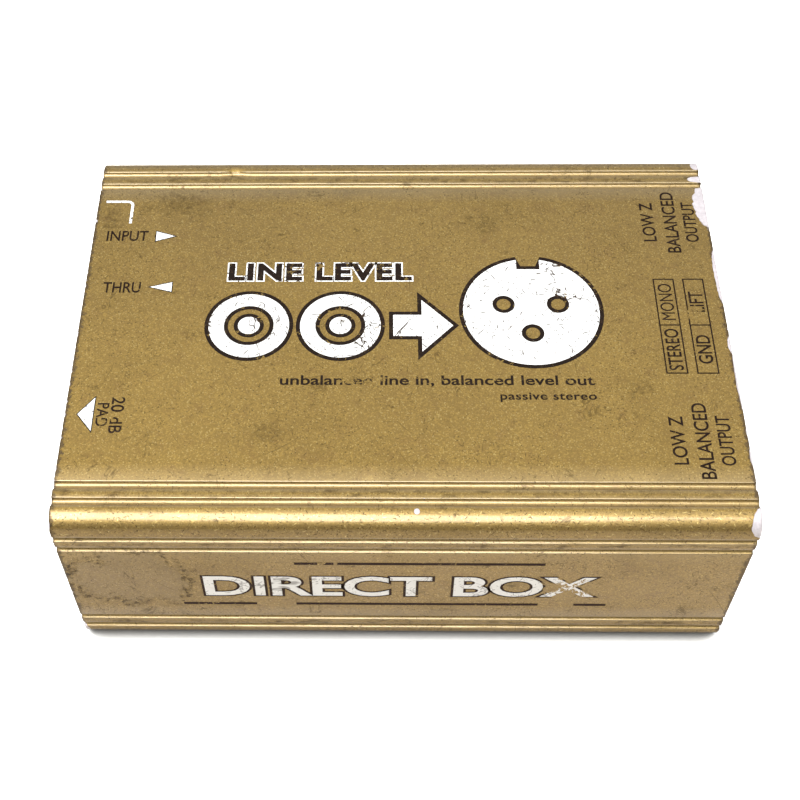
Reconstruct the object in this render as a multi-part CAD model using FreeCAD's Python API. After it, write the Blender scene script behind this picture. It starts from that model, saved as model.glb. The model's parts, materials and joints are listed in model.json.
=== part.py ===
"""Stereo direct injection box: an extruded aluminium case with two recessed end panels.

Units are millimetres. X runs along the extrusion from the input end (-X) to the output end (+X),
Y runs from the front side (-Y) to the back, Z is up, and the origin is at the middle of the base.

Parts that sit on an end panel are modelled in a port frame: its origin is on the panel's outer
face at the centre of the part, +X points out of the box and +Z is up. OUTPUT_END and INPUT_END
turn that frame to the right or to the left end of the box.
"""
import FreeCAD, Part

import math
import os

from FreeCAD import Placement, Rotation, Vector

# ---- driving dimensions -------------------------------------------------------------------------
CASE_LENGTH = 130.0
CASE_WIDTH = 94.0
CASE_HEIGHT = 45.0
CASE_WALL = 2.3
CASE_CORNER_R = 3.75
GROOVE_OFFSETS = (5.25, 8.85)      # groove centres, measured from each outer corner
GROOVE_R = 0.8
GROOVE_DEPTH = 0.7
PANEL_RECESS = 9.5                 # from the end of the case to the outer face of a panel
PANEL_THICKNESS = 1.5
PANEL_GAP = 0.15                   # all round, between a panel and the case

PORT_R = 3.2                       # extruded screw ports in the four inner corners
PORT_INSET = 3.0                   # from the inner walls to a port's axis
PANEL_SCREW_R = 1.5
PANEL_SCREW_LENGTH = 9.0

BOARD_HALF_WIDTH = 37.6
BOARD_THICKNESS = 1.6
BOARD_BOTTOM = 4.4
BOARD_GAP = 0.1
BOARD_END_GAP = 0.2                # between the board and each end panel
GUIDE_HALF_WIDTH = 36.2            # from the middle of the box to a card guide's inner face
GUIDE_TOP = 7.4

XLR_Y = 27.75                      # left and right of the middle of the output panel
RCA_INPUT_Y = 23.75
RCA_THRU_Y = 9.7
RCA_ROW_HALF_PITCH = 7.0
MINIJACK_Y = 33.6
PAD_SWITCH_Y = -22.0
OUTPUT_SWITCH_HALF_PITCH = 7.0
SWITCH_TRAVEL = 3.2

# Fits, as radial or one-sided gaps.
THREAD_GAP = 0.03                  # between a screw and the thread that holds it
PRESS_GAP = 0.02                   # between a part and the hole it is pushed into
MOULDED_GAP = 0.03                 # between a moulding and the metal around it
CLEARANCE_GAP = 0.2                # where a screw or a barrel passes through a panel
SNUG_GAP = 0.05                    # where a part only just passes another

# Cutting and joining bodies.
OVERLAP = 0.1                      # how far a joined body runs into its neighbour
PAST = 1.0                         # how far a cutting body runs beyond the face that it cuts
THROUGH = (-9.0, 9.0)              # limits along X that pass right through a panel and its parts

# ---- worked out from them -----------------------------------------------------------------------
HALF_LENGTH = CASE_LENGTH / 2
HALF_WIDTH = CASE_WIDTH / 2
MID_Z = CASE_HEIGHT / 2
CAVITY_HALF_WIDTH = HALF_WIDTH - CASE_WALL
CAVITY_HALF_HEIGHT = MID_Z - CASE_WALL
CAVITY_CORNER_R = CASE_CORNER_R - CASE_WALL
PANEL_OUTER_X = HALF_LENGTH - PANEL_RECESS
PANEL_INNER_X = PANEL_OUTER_X - PANEL_THICKNESS
PORT_Y = CAVITY_HALF_WIDTH - PORT_INSET
PORT_Z = CAVITY_HALF_HEIGHT - PORT_INSET
BOARD_TOP = BOARD_BOTTOM + BOARD_THICKNESS
BOARD_HALF_LENGTH = PANEL_INNER_X - BOARD_END_GAP

SIDES = (-1, 1)
CORNERS = [(side, level) for side in SIDES for level in SIDES]   # directions along Y and along Z
OUTPUT_END = Rotation()
INPUT_END = Rotation(Vector(0, 0, 1), 180)
UPRIGHT = Rotation(Vector(1, 0, 0), 90)   # turns a port frame's Y axis up to Z


# ---- basic shapes -------------------------------------------------------------------------------
def block(x, y, z):
    """A box between two limits on each axis, given in either order."""
    (x0, x1), (y0, y1), (z0, z1) = sorted(x), sorted(y), sorted(z)
    return Part.makeBox(x1 - x0, y1 - y0, z1 - z0, Vector(x0, y0, z0))


def around(centre, half):
    """Limits on both sides of a centre."""
    return (centre - half, centre + half)


def rod(x, r, y=0.0, z=0.0):
    """A cylinder along X between the limits x."""
    return Part.makeCylinder(r, x[1] - x[0], Vector(x[0], y, z), Vector(1, 0, 0))


def post(z, r, x=0.0, y=0.0):
    """A cylinder along Z between the limits z."""
    return Part.makeCylinder(r, z[1] - z[0], Vector(x, y, z[0]), Vector(0, 0, 1))


def tube(x, r_out, r_in):
    """A tube along X."""
    return rod(x, r_out).cut(rod(x, r_in))


def rounded_bar(x, half_width, half_height, r, z=0.0):
    """A bar along X with a rounded rectangular section centred at height z."""
    bar = block(x, around(0, half_width), around(z, half_height))
    along_x = [e for e in bar.Edges if abs(e.tangentAt(e.FirstParameter).x) > 0.99]
    return bar.makeFillet(r, along_x)


def hexagon(x, across_flats, y=0.0, z=0.0):
    """A hexagonal bar along X."""
    r = across_flats / math.sqrt(3)
    turns = [math.radians(60 * i) for i in range(7)]
    corners = [Vector(x[0], y + r * math.cos(a), z + r * math.sin(a)) for a in turns]
    return Part.Face(Part.makePolygon(corners)).extrude(Vector(x[1] - x[0], 0, 0))


def nut(x, across_flats, hole_r, y=0.0, z=0.0):
    """A hexagonal nut along X."""
    return hexagon(x, across_flats, y, z).cut(rod((x[0] - PAST, x[1] + PAST), hole_r, y, z))


def eased(shape, tip, r):
    """The shape with every edge in the plane x = tip, its outermost, rounded to r."""
    edges = [e for e in shape.Edges if e.BoundBox.XMin > tip - 1e-6]
    return shape.makeFillet(r, edges)


def fuse(shapes):
    """One solid from several that touch or overlap."""
    return shapes[0].multiFuse(shapes[1:]).removeSplitter() if len(shapes) > 1 else shapes[0]


def placed(shape, end, y, z, roll=None):
    """A copy of a port-frame shape on one end panel, with the port frame's origin at (y, z)."""
    turn = end if roll is None else end.multiply(roll)
    outward = end.multVec(Vector(1, 0, 0)).x
    moved = shape.copy()
    moved.Placement = Placement(Vector(outward * PANEL_OUTER_X, y, z), turn).multiply(shape.Placement)
    return moved


def behind_panel(x):
    """Limits measured from the panel's inner face, as limits in the port frame."""
    return (x[0] - PANEL_THICKNESS, x[1] - PANEL_THICKNESS)


def routed_wire(points, r, bend_r):
    """A round wire along straight runs between the points, with every corner bent to bend_r."""
    points = [Vector(*p) for p in points]
    edges = []
    here = points[0]
    for before, corner, after in zip(points, points[1:], points[2:]):
        back = (before - corner).normalize()
        ahead = (after - corner).normalize()
        half_angle = back.getAngle(ahead) / 2
        reach = bend_r / math.tan(half_angle)
        bisector = (back + ahead).normalize()
        middle = corner + bisector * (bend_r / math.sin(half_angle) - bend_r)
        edges.append(Part.makeLine(here, corner + back * reach))
        edges.append(Part.Arc(corner + back * reach, middle, corner + ahead * reach).toShape())
        here = corner + ahead * reach
    edges.append(Part.makeLine(here, points[-1]))
    section = Part.Wire(Part.makeCircle(r, points[0], points[1] - points[0]))
    return Part.Wire(edges).makePipeShell([section], True, False)


def save(name, shapes):
    """Writes one node: a single solid, or a group of separate ones."""
    solids = [s for shape in (shapes if isinstance(shapes, list) else [shapes]) for s in shape.Solids]
    whole = solids[0] if len(solids) == 1 else Part.makeCompound(solids)
    whole.exportStep(os.path.join("parts", name + ".step"))


# ---- case ---------------------------------------------------------------------------------------
def screw_port(side, level):
    """The solid corner that an end-panel screw threads into; side and level are -1 or 1."""
    x = (-PANEL_INNER_X, PANEL_INNER_X)
    y, z = side * PORT_Y, MID_Z + level * PORT_Z
    wall_y = side * (CAVITY_HALF_WIDTH + OVERLAP)
    wall_z = MID_Z + level * (CAVITY_HALF_HEIGHT + OVERLAP)
    to_side = block(x, (y, wall_y), (z - level * PORT_R, wall_z))
    to_face = block(x, (y - side * PORT_R, wall_y), (z, wall_z))
    return fuse([rod(x, PORT_R, y, z), to_side, to_face])


def card_guide(side):
    """The slotted rib that holds one long edge of the circuit board."""
    port_face = PORT_Y - PORT_R
    rib = block((-PANEL_INNER_X, PANEL_INNER_X), (side * GUIDE_HALF_WIDTH, side * (port_face + PAST)),
                (CASE_WALL - OVERLAP, GUIDE_TOP))
    slot = block((-PANEL_INNER_X, PANEL_INNER_X),
                 (side * (GUIDE_HALF_WIDTH - PAST), side * (BOARD_HALF_WIDTH + 2 * BOARD_GAP)),
                 (BOARD_BOTTOM - BOARD_GAP, BOARD_TOP + BOARD_GAP))
    return rib.cut(slot)


def grooves():
    """The pair of decorative grooves beside every long edge, as cutting rods."""
    x = (-HALF_LENGTH - PAST, HALF_LENGTH + PAST)
    lift = GROOVE_R - GROOVE_DEPTH
    cutters = []
    for offset in GROOVE_OFFSETS:
        for side in SIDES:
            y = side * (HALF_WIDTH - offset)
            cutters += [rod(x, GROOVE_R, y, -lift), rod(x, GROOVE_R, y, CASE_HEIGHT + lift)]
            y = side * (HALF_WIDTH + lift)
            cutters += [rod(x, GROOVE_R, y, offset), rod(x, GROOVE_R, y, CASE_HEIGHT - offset)]
    return cutters


def make_case():
    full = (-HALF_LENGTH, HALF_LENGTH)
    outer = rounded_bar(full, HALF_WIDTH, MID_Z, CASE_CORNER_R, MID_Z)
    cavity = rounded_bar((-HALF_LENGTH - PAST, HALF_LENGTH + PAST), CAVITY_HALF_WIDTH, CAVITY_HALF_HEIGHT,
                         CAVITY_CORNER_R, MID_Z)
    sleeve = outer.cut(cavity).cut(grooves())
    inside = [screw_port(side, level) for side, level in CORNERS]
    inside += [card_guide(side) for side in SIDES]
    threads = [rod(full, PANEL_SCREW_R + THREAD_GAP, side * PORT_Y, MID_Z + level * PORT_Z)
               for side, level in CORNERS]
    save("extruded_case", fuse([sleeve] + inside).cut(threads))


# ---- panels -------------------------------------------------------------------------------------
def panel_blank():
    """A plain end panel in the port frame, with its four corner holes."""
    plate = rounded_bar((-PANEL_THICKNESS, 0), CAVITY_HALF_WIDTH - PANEL_GAP,
                        CAVITY_HALF_HEIGHT - PANEL_GAP, CAVITY_CORNER_R)
    return plate.cut([rod(THROUGH, PANEL_SCREW_R + CLEARANCE_GAP, side * PORT_Y, level * PORT_Z)
                      for side, level in CORNERS])


def make_panels():
    cutters = []
    for y0 in (-XLR_Y, XLR_Y):
        cutters.append(rod(THROUGH, XLR_BARREL_R + CLEARANCE_GAP, y0, 0))
        cutters += [rod(THROUGH, PANEL_SCREW_R + CLEARANCE_GAP, y0 + y, z) for y, z in XLR_SCREW_PLACES]
    for z in (-OUTPUT_SWITCH_HALF_PITCH, OUTPUT_SWITCH_HALF_PITCH):
        cutters += switch_cutters(0, z)
    save("output_panel", placed(panel_blank().cut(cutters), OUTPUT_END, 0, MID_Z))

    # The input end's port frame is turned half round, so its Y runs from the back to the front.
    cutters = [rod(THROUGH, RCA_HOLE_R, -y, z - MID_Z) for y in RCA_COLUMNS for z in RCA_ROWS]
    cutters.append(rod(THROUGH, MINIJACK_THREAD_R + 2 * SNUG_GAP, -MINIJACK_Y, 0))
    cutters += switch_cutters(-PAD_SWITCH_Y, 0, upright=True)
    save("input_panel", placed(panel_blank().cut(cutters), INPUT_END, 0, MID_Z))


# ---- screws -------------------------------------------------------------------------------------
# Proportions of a cross-head pan screw, as shares of its thread's radius.
HEAD_R = 1.85
HEAD_HEIGHT = 1.3
HEAD_EDGE_R = 0.585
CROSS_REACH = 0.95
CROSS_HALF_WIDTH = 0.26
CROSS_DEPTH = 0.715


def pan_screw(r, length, seat=0.0):
    """A cross-head pan screw along X; its head sits on the plane x = seat."""
    tip = seat + HEAD_HEIGHT * r
    head = eased(rod((seat, tip), HEAD_R * r), tip, HEAD_EDGE_R * r)
    deep = (tip - CROSS_DEPTH * r, tip + PAST)
    reach, width = around(0, CROSS_REACH * r), around(0, CROSS_HALF_WIDTH * r)
    cross = block(deep, reach, width).fuse(block(deep, width, reach))
    return fuse([head, rod((seat - length, seat + OVERLAP), r)]).cut(cross)


def make_panel_screws():
    screw = pan_screw(PANEL_SCREW_R, PANEL_SCREW_LENGTH)
    for name, end in (("input_panel_screws", INPUT_END), ("output_panel_screws", OUTPUT_END)):
        save(name, [placed(screw, end, side * PORT_Y, MID_Z + level * PORT_Z) for side, level in CORNERS])


# ---- slide switches -----------------------------------------------------------------------------
# Modelled with the travel along Y. Depths are measured from the panel's inner face.
SWITCH_EAR_HALF_LENGTH = 12.0
SWITCH_EAR_CORNER_R = 1.2
SWITCH_HALF_WIDTH = 4.3
SWITCH_SCREW_OFFSET = 9.5
SWITCH_SCREW_R = 1.25
SWITCH_SCREW_LENGTH = 4.0
SWITCH_PLATE = 0.8
SWITCH_SKIN = 0.6
SWITCH_BOX_HALF_LENGTH = 7.3
SWITCH_BOX_DEPTH = 6.8
SWITCH_TAB_REACH = 1.2             # of the tabs folded under the terminal board
SWITCH_TAB_HALF_WIDTH = 1.5
SWITCH_SLOT_GAP = 0.3              # between the knob and its window

KNOB_HALF_LENGTH = 2.0
KNOB_HALF_WIDTH = 1.6
KNOB_HEIGHT = 2.6                  # above the panel's outer face
KNOB_EDGE_R = 0.3
KNOB_GROOVE_PITCH = 1.0            # finger grooves across the knob
KNOB_GROOVE_HALF_WIDTH = 0.25
KNOB_GROOVE_DEPTH = 0.5
CARRIAGE = (-4.2, -SWITCH_PLATE - 0.1)
CARRIAGE_HALF_LENGTH = 4.9
CARRIAGE_HALF_WIDTH = 3.5

TERMINAL_BOARD = (-6.7, -5.5)
TERMINAL_Z = 1.9
TERMINAL_HEAD_TOP = -5.1
TERMINAL_HEAD_R = 0.8
TERMINAL_SHANK_R = 0.48
TERMINAL_TAIL_LENGTH = 4.0
TERMINAL_TAIL_HALF = (0.6, 0.2)
CLIP_THICKNESS = 0.3
CLIP_HALF_WIDTH = 0.7
CLIP_FOOT_LENGTH = 0.6

SLOT_HALF_LENGTH = KNOB_HALF_LENGTH + SWITCH_TRAVEL / 2 + SWITCH_SLOT_GAP
SLOT_HALF_WIDTH = KNOB_HALF_WIDTH + SWITCH_SLOT_GAP
BOX_INNER_HALF_LENGTH = SWITCH_BOX_HALF_LENGTH - SWITCH_SKIN
BOX_INNER_HALF_WIDTH = SWITCH_HALF_WIDTH - SWITCH_SKIN
TERMINAL_PLACES = [(y, z) for y in (-SWITCH_TRAVEL, 0.0, SWITCH_TRAVEL) for z in (-TERMINAL_Z, TERMINAL_Z)]

SWITCHES = {
    "stereo_switch": (OUTPUT_END, 0.0, MID_Z + OUTPUT_SWITCH_HALF_PITCH, None),
    "lift_switch": (OUTPUT_END, 0.0, MID_Z - OUTPUT_SWITCH_HALF_PITCH, None),
    "pad_switch": (INPUT_END, PAD_SWITCH_Y, MID_Z, UPRIGHT),
}


def switch_cutters(y, z, upright=False):
    """The window and the two screw holes that a slide switch needs in its panel."""
    half_y, half_z = (SLOT_HALF_WIDTH, SLOT_HALF_LENGTH) if upright else (SLOT_HALF_LENGTH, SLOT_HALF_WIDTH)
    cutters = [block(THROUGH, around(y, half_y), around(z, half_z))]
    for offset in (-SWITCH_SCREW_OFFSET, SWITCH_SCREW_OFFSET):
        dy, dz = (0, offset) if upright else (offset, 0)
        cutters.append(rod(THROUGH, SWITCH_SCREW_R + CLEARANCE_GAP / 2, y + dy, z + dz))
    return cutters


def switch_frame():
    """The folded steel frame: an ear plate with a window, and a box held shut by two tabs."""
    plate = rounded_bar(behind_panel((-SWITCH_PLATE, 0)), SWITCH_EAR_HALF_LENGTH, SWITCH_HALF_WIDTH,
                        SWITCH_EAR_CORNER_R)
    wall = block(behind_panel((-SWITCH_BOX_DEPTH, -SWITCH_PLATE + OVERLAP)),
                 around(0, SWITCH_BOX_HALF_LENGTH), around(0, SWITCH_HALF_WIDTH))
    hollow = block(behind_panel((-SWITCH_BOX_DEPTH - PAST, -SWITCH_PLATE)),
                   around(0, BOX_INNER_HALF_LENGTH), around(0, BOX_INNER_HALF_WIDTH))
    tabs = [block(behind_panel((-SWITCH_BOX_DEPTH - SWITCH_SKIN, -SWITCH_BOX_DEPTH)),
                  (side * SWITCH_BOX_HALF_LENGTH, side * (SWITCH_BOX_HALF_LENGTH - SWITCH_TAB_REACH)),
                  around(0, SWITCH_TAB_HALF_WIDTH)) for side in SIDES]
    window = block(THROUGH, around(0, SLOT_HALF_LENGTH), around(0, SLOT_HALF_WIDTH))
    threads = [rod(THROUGH, SWITCH_SCREW_R + THREAD_GAP, side * SWITCH_SCREW_OFFSET) for side in SIDES]
    return fuse([plate, wall.cut(hollow)] + tabs).cut([window] + threads)


def switch_slider():
    """The moulded carriage and its ribbed knob, in the middle of its travel."""
    carriage = block(behind_panel(CARRIAGE), around(0, CARRIAGE_HALF_LENGTH), around(0, CARRIAGE_HALF_WIDTH))
    root = behind_panel(CARRIAGE)[1] - OVERLAP
    knob = block((root, KNOB_HEIGHT), around(0, KNOB_HALF_LENGTH), around(0, KNOB_HALF_WIDTH))
    knob = eased(knob, KNOB_HEIGHT, KNOB_EDGE_R)
    finger_grooves = [block((KNOB_HEIGHT - KNOB_GROOVE_DEPTH, KNOB_HEIGHT + PAST),
                            around(y, KNOB_GROOVE_HALF_WIDTH), around(0, KNOB_HALF_WIDTH + PAST))
                      for y in (-KNOB_GROOVE_PITCH, 0.0, KNOB_GROOVE_PITCH)]
    return fuse([carriage, knob]).cut(finger_grooves)


def switch_clips():
    """The two sprung bridges under the carriage, each joining two neighbouring terminals."""
    clips = []
    half = SWITCH_TRAVEL / 2 + CLIP_HALF_WIDTH
    bar_top = CARRIAGE[0]
    for z in (-TERMINAL_Z, TERMINAL_Z):
        width = around(z, CLIP_HALF_WIDTH)
        bar = block(behind_panel((bar_top - CLIP_THICKNESS, bar_top)), around(0, half), width)
        feet = [block(behind_panel((TERMINAL_HEAD_TOP + PRESS_GAP, bar_top - OVERLAP)),
                      (side * half, side * (half - CLIP_FOOT_LENGTH)), width) for side in SIDES]
        clips.append(fuse([bar] + feet))
    return clips


def switch_base():
    """The phenolic board that carries the terminals."""
    board = block(behind_panel(TERMINAL_BOARD), around(0, BOX_INNER_HALF_LENGTH - SNUG_GAP),
                  around(0, BOX_INNER_HALF_WIDTH - SNUG_GAP))
    through = behind_panel((TERMINAL_BOARD[0] - PAST, TERMINAL_BOARD[1] + PAST))
    return board.cut([rod(through, TERMINAL_SHANK_R + PRESS_GAP, y, z) for y, z in TERMINAL_PLACES])


def switch_terminals():
    """Six riveted contacts, each with a solder tail."""
    terminals = []
    bottom, top = TERMINAL_BOARD
    for y, z in TERMINAL_PLACES:
        head = rod(behind_panel((top, TERMINAL_HEAD_TOP)), TERMINAL_HEAD_R, y, z)
        shank = rod(behind_panel((bottom - OVERLAP, top + OVERLAP)), TERMINAL_SHANK_R, y, z)
        tail = block(behind_panel((bottom - TERMINAL_TAIL_LENGTH, bottom)),
                     around(y, TERMINAL_TAIL_HALF[0]), around(z, TERMINAL_TAIL_HALF[1]))
        terminals.append(fuse([head, shank, tail]))
    return terminals


def make_switches():
    at_rest = Vector(0, -SWITCH_TRAVEL / 2, 0)
    slider = switch_slider().translated(at_rest)
    clips = [c.translated(at_rest) for c in switch_clips()]
    screw = pan_screw(SWITCH_SCREW_R, SWITCH_SCREW_LENGTH)
    screws = []
    for name, spot in SWITCHES.items():
        pieces = {"frame": [switch_frame()], "slider": [slider], "clips": clips,
                  "base": [switch_base()], "terminals": switch_terminals()}
        for piece, shapes in pieces.items():
            save(f"{name}_{piece}", [placed(s, *spot) for s in shapes])
        for side in SIDES:
            screws.append(placed(screw.translated(Vector(0, side * SWITCH_SCREW_OFFSET, 0)), *spot))
    save("switch_screws", screws)


# ---- XLR output connectors ----------------------------------------------------------------------
XLR_FLANGE_HALF = (13.0, 15.5)
XLR_FLANGE_THICKNESS = 2.0
XLR_FLANGE_CORNER_R = 3.5
XLR_FLANGE_EDGE_R = 0.5
XLR_BARREL_R = 11.6
XLR_BORE_R = 9.5
XLR_MOUTH_R = 9.8
XLR_MOUTH_DEPTH = 3.6
XLR_BORE_DEPTH = 16.5              # from the face of the flange to the insert
XLR_NOTCH_DEPTH = 7.0              # for the latch, from the face of the flange
XLR_NOTCH_HALF_WIDTH = 2.4
XLR_NOTCH_TOP = 11.0
XLR_INSERT_R = 10.2
XLR_INSERT_THICKNESS = 4.5
XLR_KEY_LENGTH = 2.0
XLR_KEY_HALF_WIDTH = 1.2
XLR_KEY_Z = (5.6, 8.4)
XLR_SCREW_PLACES = ((-9.5, 12.0), (9.5, -12.0))
XLR_SCREW_LENGTH = 7.5
XLR_NUT_HEIGHT = 2.4
XLR_NUT_FLATS = 5.5
XLR_PIN_R = 1.2
XLR_PIN_TIP_R = 0.9
XLR_PIN_PLACES = ((-3.8, 1.2), (3.8, 1.2), (0.0, -3.8))
XLR_PIN_SETBACK = 0.2              # of the pins' tips behind the widened mouth
XLR_CUP_R = 1.5
XLR_CUP_WALL = 0.4
XLR_CUP_LENGTH = 5.0
XLR_CUP_DEPTH = 3.5
XLR_CUP_OPEN = 2.5                 # length of the cut-away side
XLR_INSERT_FRONT = XLR_FLANGE_THICKNESS - XLR_BORE_DEPTH
XLR_INSERT_BACK = XLR_INSERT_FRONT - XLR_INSERT_THICKNESS


def xlr_shell():
    """The die-cast shell: flange, barrel, latch notch and screw holes."""
    flange = rounded_bar((0, XLR_FLANGE_THICKNESS), *XLR_FLANGE_HALF, XLR_FLANGE_CORNER_R)
    flange = eased(flange, XLR_FLANGE_THICKNESS, XLR_FLANGE_EDGE_R)
    barrel = rod((XLR_INSERT_BACK, OVERLAP), XLR_BARREL_R)
    past = XLR_FLANGE_THICKNESS + PAST
    bore = rod((XLR_INSERT_FRONT, past), XLR_BORE_R)
    mouth = rod((XLR_FLANGE_THICKNESS - XLR_MOUTH_DEPTH, past), XLR_MOUTH_R)
    seat = rod((XLR_INSERT_BACK - PAST, XLR_INSERT_FRONT), XLR_INSERT_R + MOULDED_GAP)
    notch = block((XLR_FLANGE_THICKNESS - XLR_NOTCH_DEPTH, past), around(0, XLR_NOTCH_HALF_WIDTH),
                  (0, XLR_NOTCH_TOP))
    holes = [rod((-PAST, past), PANEL_SCREW_R + CLEARANCE_GAP, y, z) for y, z in XLR_SCREW_PLACES]
    return fuse([flange, barrel]).cut([bore, mouth, seat, notch] + holes)


def xlr_insert():
    """The moulded disc that carries the three pins."""
    disc = rod((XLR_INSERT_BACK, XLR_INSERT_FRONT), XLR_INSERT_R)
    key = block((XLR_INSERT_FRONT - OVERLAP, XLR_INSERT_FRONT + XLR_KEY_LENGTH),
                around(0, XLR_KEY_HALF_WIDTH), XLR_KEY_Z)
    through = (XLR_INSERT_BACK - PAST, XLR_INSERT_FRONT + PAST)
    return fuse([disc, key]).cut([rod(through, XLR_PIN_R + PRESS_GAP, y, z) for y, z in XLR_PIN_PLACES])


def xlr_pins():
    """Three turned pins with domed tips and solder cups behind the insert."""
    pins = []
    tip = XLR_FLANGE_THICKNESS - XLR_MOUTH_DEPTH - XLR_PIN_SETBACK
    cup_end = XLR_INSERT_BACK - XLR_CUP_LENGTH
    for y, z in XLR_PIN_PLACES:
        shaft = eased(rod((XLR_INSERT_BACK - OVERLAP, tip), XLR_PIN_R, y, z), tip, XLR_PIN_TIP_R)
        hollow = rod((cup_end - PAST, cup_end + XLR_CUP_DEPTH), XLR_CUP_R - XLR_CUP_WALL, y, z)
        mouth = block((cup_end - PAST, cup_end + XLR_CUP_OPEN), around(y, 2 * XLR_CUP_R),
                      (z, z + 2 * XLR_CUP_R))
        cup = rod((cup_end, XLR_INSERT_BACK), XLR_CUP_R, y, z).cut([hollow, mouth])
        pins.append(fuse([shaft, cup]))
    return pins


def make_xlr_connectors():
    screws, nuts = [], []
    screw = pan_screw(PANEL_SCREW_R, XLR_SCREW_LENGTH, XLR_FLANGE_THICKNESS)
    nut_x = behind_panel((-XLR_NUT_HEIGHT, 0))
    for side, y0 in (("front", -XLR_Y), ("rear", XLR_Y)):
        spot = (OUTPUT_END, y0, MID_Z)
        save(f"{side}_xlr_shell", placed(xlr_shell(), *spot))
        save(f"{side}_xlr_insert", placed(xlr_insert(), *spot))
        save(f"{side}_xlr_pins", [placed(p, *spot) for p in xlr_pins()])
        for y, z in XLR_SCREW_PLACES:
            screws.append(placed(screw.translated(Vector(0, y, z)), *spot))
            nuts.append(placed(nut(nut_x, XLR_NUT_FLATS, PANEL_SCREW_R + THREAD_GAP, y, z), *spot))
    save("xlr_screws", screws)
    save("xlr_nuts", nuts)


# ---- RCA jacks ----------------------------------------------------------------------------------
RCA_WASHER_THICKNESS = 1.2
RCA_WASHER_R = 5.8
RCA_HOLE_R = 4.0
RCA_FLANGE = (RCA_WASHER_THICKNESS, RCA_WASHER_THICKNESS + 1.0)
RCA_FLANGE_R = 5.4
RCA_FLOOR = RCA_FLANGE[0] + 0.5    # where the barrel's wide bore ends
RCA_BARREL_R = 4.15
RCA_BARREL_TIP = 9.3
RCA_EDGE_R = 0.35
RCA_SHELL_BORE_R = 3.3
RCA_TAIL_R = 3.25
RCA_TAIL_BORE_R = 2.6
RCA_TAIL_END = -7.0
RCA_BACK_WASHER = behind_panel((-0.8, 0.0))
RCA_BACK_WASHER_R = 5.2
RCA_TAG = behind_panel((-1.2, -0.8))
RCA_TAG_R = 5.0
RCA_TAG_HALF_WIDTH = 1.2
RCA_TAG_TOP = 8.2
RCA_NUT = behind_panel((-3.2, -1.2))
RCA_NUT_FLATS = 9.5
RCA_CONTACT = (0.6, 8.6)
RCA_CONTACT_R = 2.0
RCA_CONTACT_BORE_R = 1.6
RCA_CONTACT_FLOOR = 0.8
RCA_TERMINAL_R = 0.8
RCA_TERMINAL_END = -10.0
RCA_COLUMNS = (RCA_INPUT_Y, RCA_THRU_Y)
RCA_ROWS = (MID_Z + RCA_ROW_HALF_PITCH, MID_Z - RCA_ROW_HALF_PITCH)   # left channel, right channel


def rca_shell():
    """The plated ground contact: barrel, flange and threaded tail."""
    barrel = eased(rod((RCA_FLANGE[0], RCA_BARREL_TIP), RCA_BARREL_R), RCA_BARREL_TIP, RCA_EDGE_R)
    flange = rod(RCA_FLANGE, RCA_FLANGE_R)
    tail = rod((RCA_TAIL_END, RCA_FLANGE[0] + OVERLAP), RCA_TAIL_R)
    bore = rod((RCA_FLOOR, RCA_BARREL_TIP + PAST), RCA_SHELL_BORE_R)
    tail_bore = rod((RCA_TAIL_END - PAST, RCA_FLANGE[0] + PAST), RCA_TAIL_BORE_R)
    return fuse([barrel, flange, tail]).cut([bore, tail_bore])


def rca_insulator():
    """The moulding between the shell and the centre contact."""
    front = rod((RCA_FLOOR, RCA_CONTACT[1]), RCA_SHELL_BORE_R - MOULDED_GAP)
    back = rod((RCA_TAIL_END, RCA_FLOOR + OVERLAP), RCA_TAIL_BORE_R - MOULDED_GAP)
    seat = rod((RCA_CONTACT[0], RCA_CONTACT[1] + PAST), RCA_CONTACT_R + PRESS_GAP)
    stem = rod((RCA_TAIL_END - PAST, RCA_CONTACT[0] + OVERLAP), RCA_TERMINAL_R + PRESS_GAP)
    return fuse([front, back]).cut([seat, stem])


def rca_contact():
    """The centre contact: a socket with a solder pin behind it."""
    socket = rod(RCA_CONTACT, RCA_CONTACT_R)
    bore = rod((RCA_CONTACT[0] + RCA_CONTACT_FLOOR, RCA_CONTACT[1] + PAST), RCA_CONTACT_BORE_R)
    return fuse([socket, rod((RCA_TERMINAL_END, RCA_CONTACT[0] + OVERLAP), RCA_TERMINAL_R)]).cut(bore)


def rca_shoulder_washer():
    """The coloured washer that keeps the shell off the panel."""
    disc = eased(rod((0, RCA_WASHER_THICKNESS), RCA_WASHER_R), RCA_WASHER_THICKNESS, RCA_EDGE_R)
    shoulder = rod((-PANEL_THICKNESS, OVERLAP), RCA_HOLE_R - SNUG_GAP)
    return fuse([disc, shoulder]).cut(rod(THROUGH, RCA_TAIL_R + SNUG_GAP))


def rca_tag():
    """The ring tag that takes the ground wire, with its tab turned up."""
    tab = block(RCA_TAG, around(0, RCA_TAG_HALF_WIDTH), (RCA_TAG_R - PAST, RCA_TAG_TOP))
    return fuse([rod(RCA_TAG, RCA_TAG_R), tab]).cut(rod(THROUGH, RCA_TAIL_R + SNUG_GAP))


def make_rca_jacks():
    pieces = {
        "rca_shells": rca_shell(),
        "rca_insulators": rca_insulator(),
        "rca_contacts": rca_contact(),
        "rca_back_washers": tube(RCA_BACK_WASHER, RCA_BACK_WASHER_R, RCA_TAIL_R + SNUG_GAP),
        "rca_ground_tags": rca_tag(),
        "rca_nuts": nut(RCA_NUT, RCA_NUT_FLATS, RCA_TAIL_R + THREAD_GAP),
    }
    for name, shape in pieces.items():
        save(name, [placed(shape, INPUT_END, y, z) for y in RCA_COLUMNS for z in RCA_ROWS])
    for name, row in (("rca_washers_white", RCA_ROWS[0]), ("rca_washers_red", RCA_ROWS[1])):
        save(name, [placed(rca_shoulder_washer(), INPUT_END, y, row) for y in RCA_COLUMNS])


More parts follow.
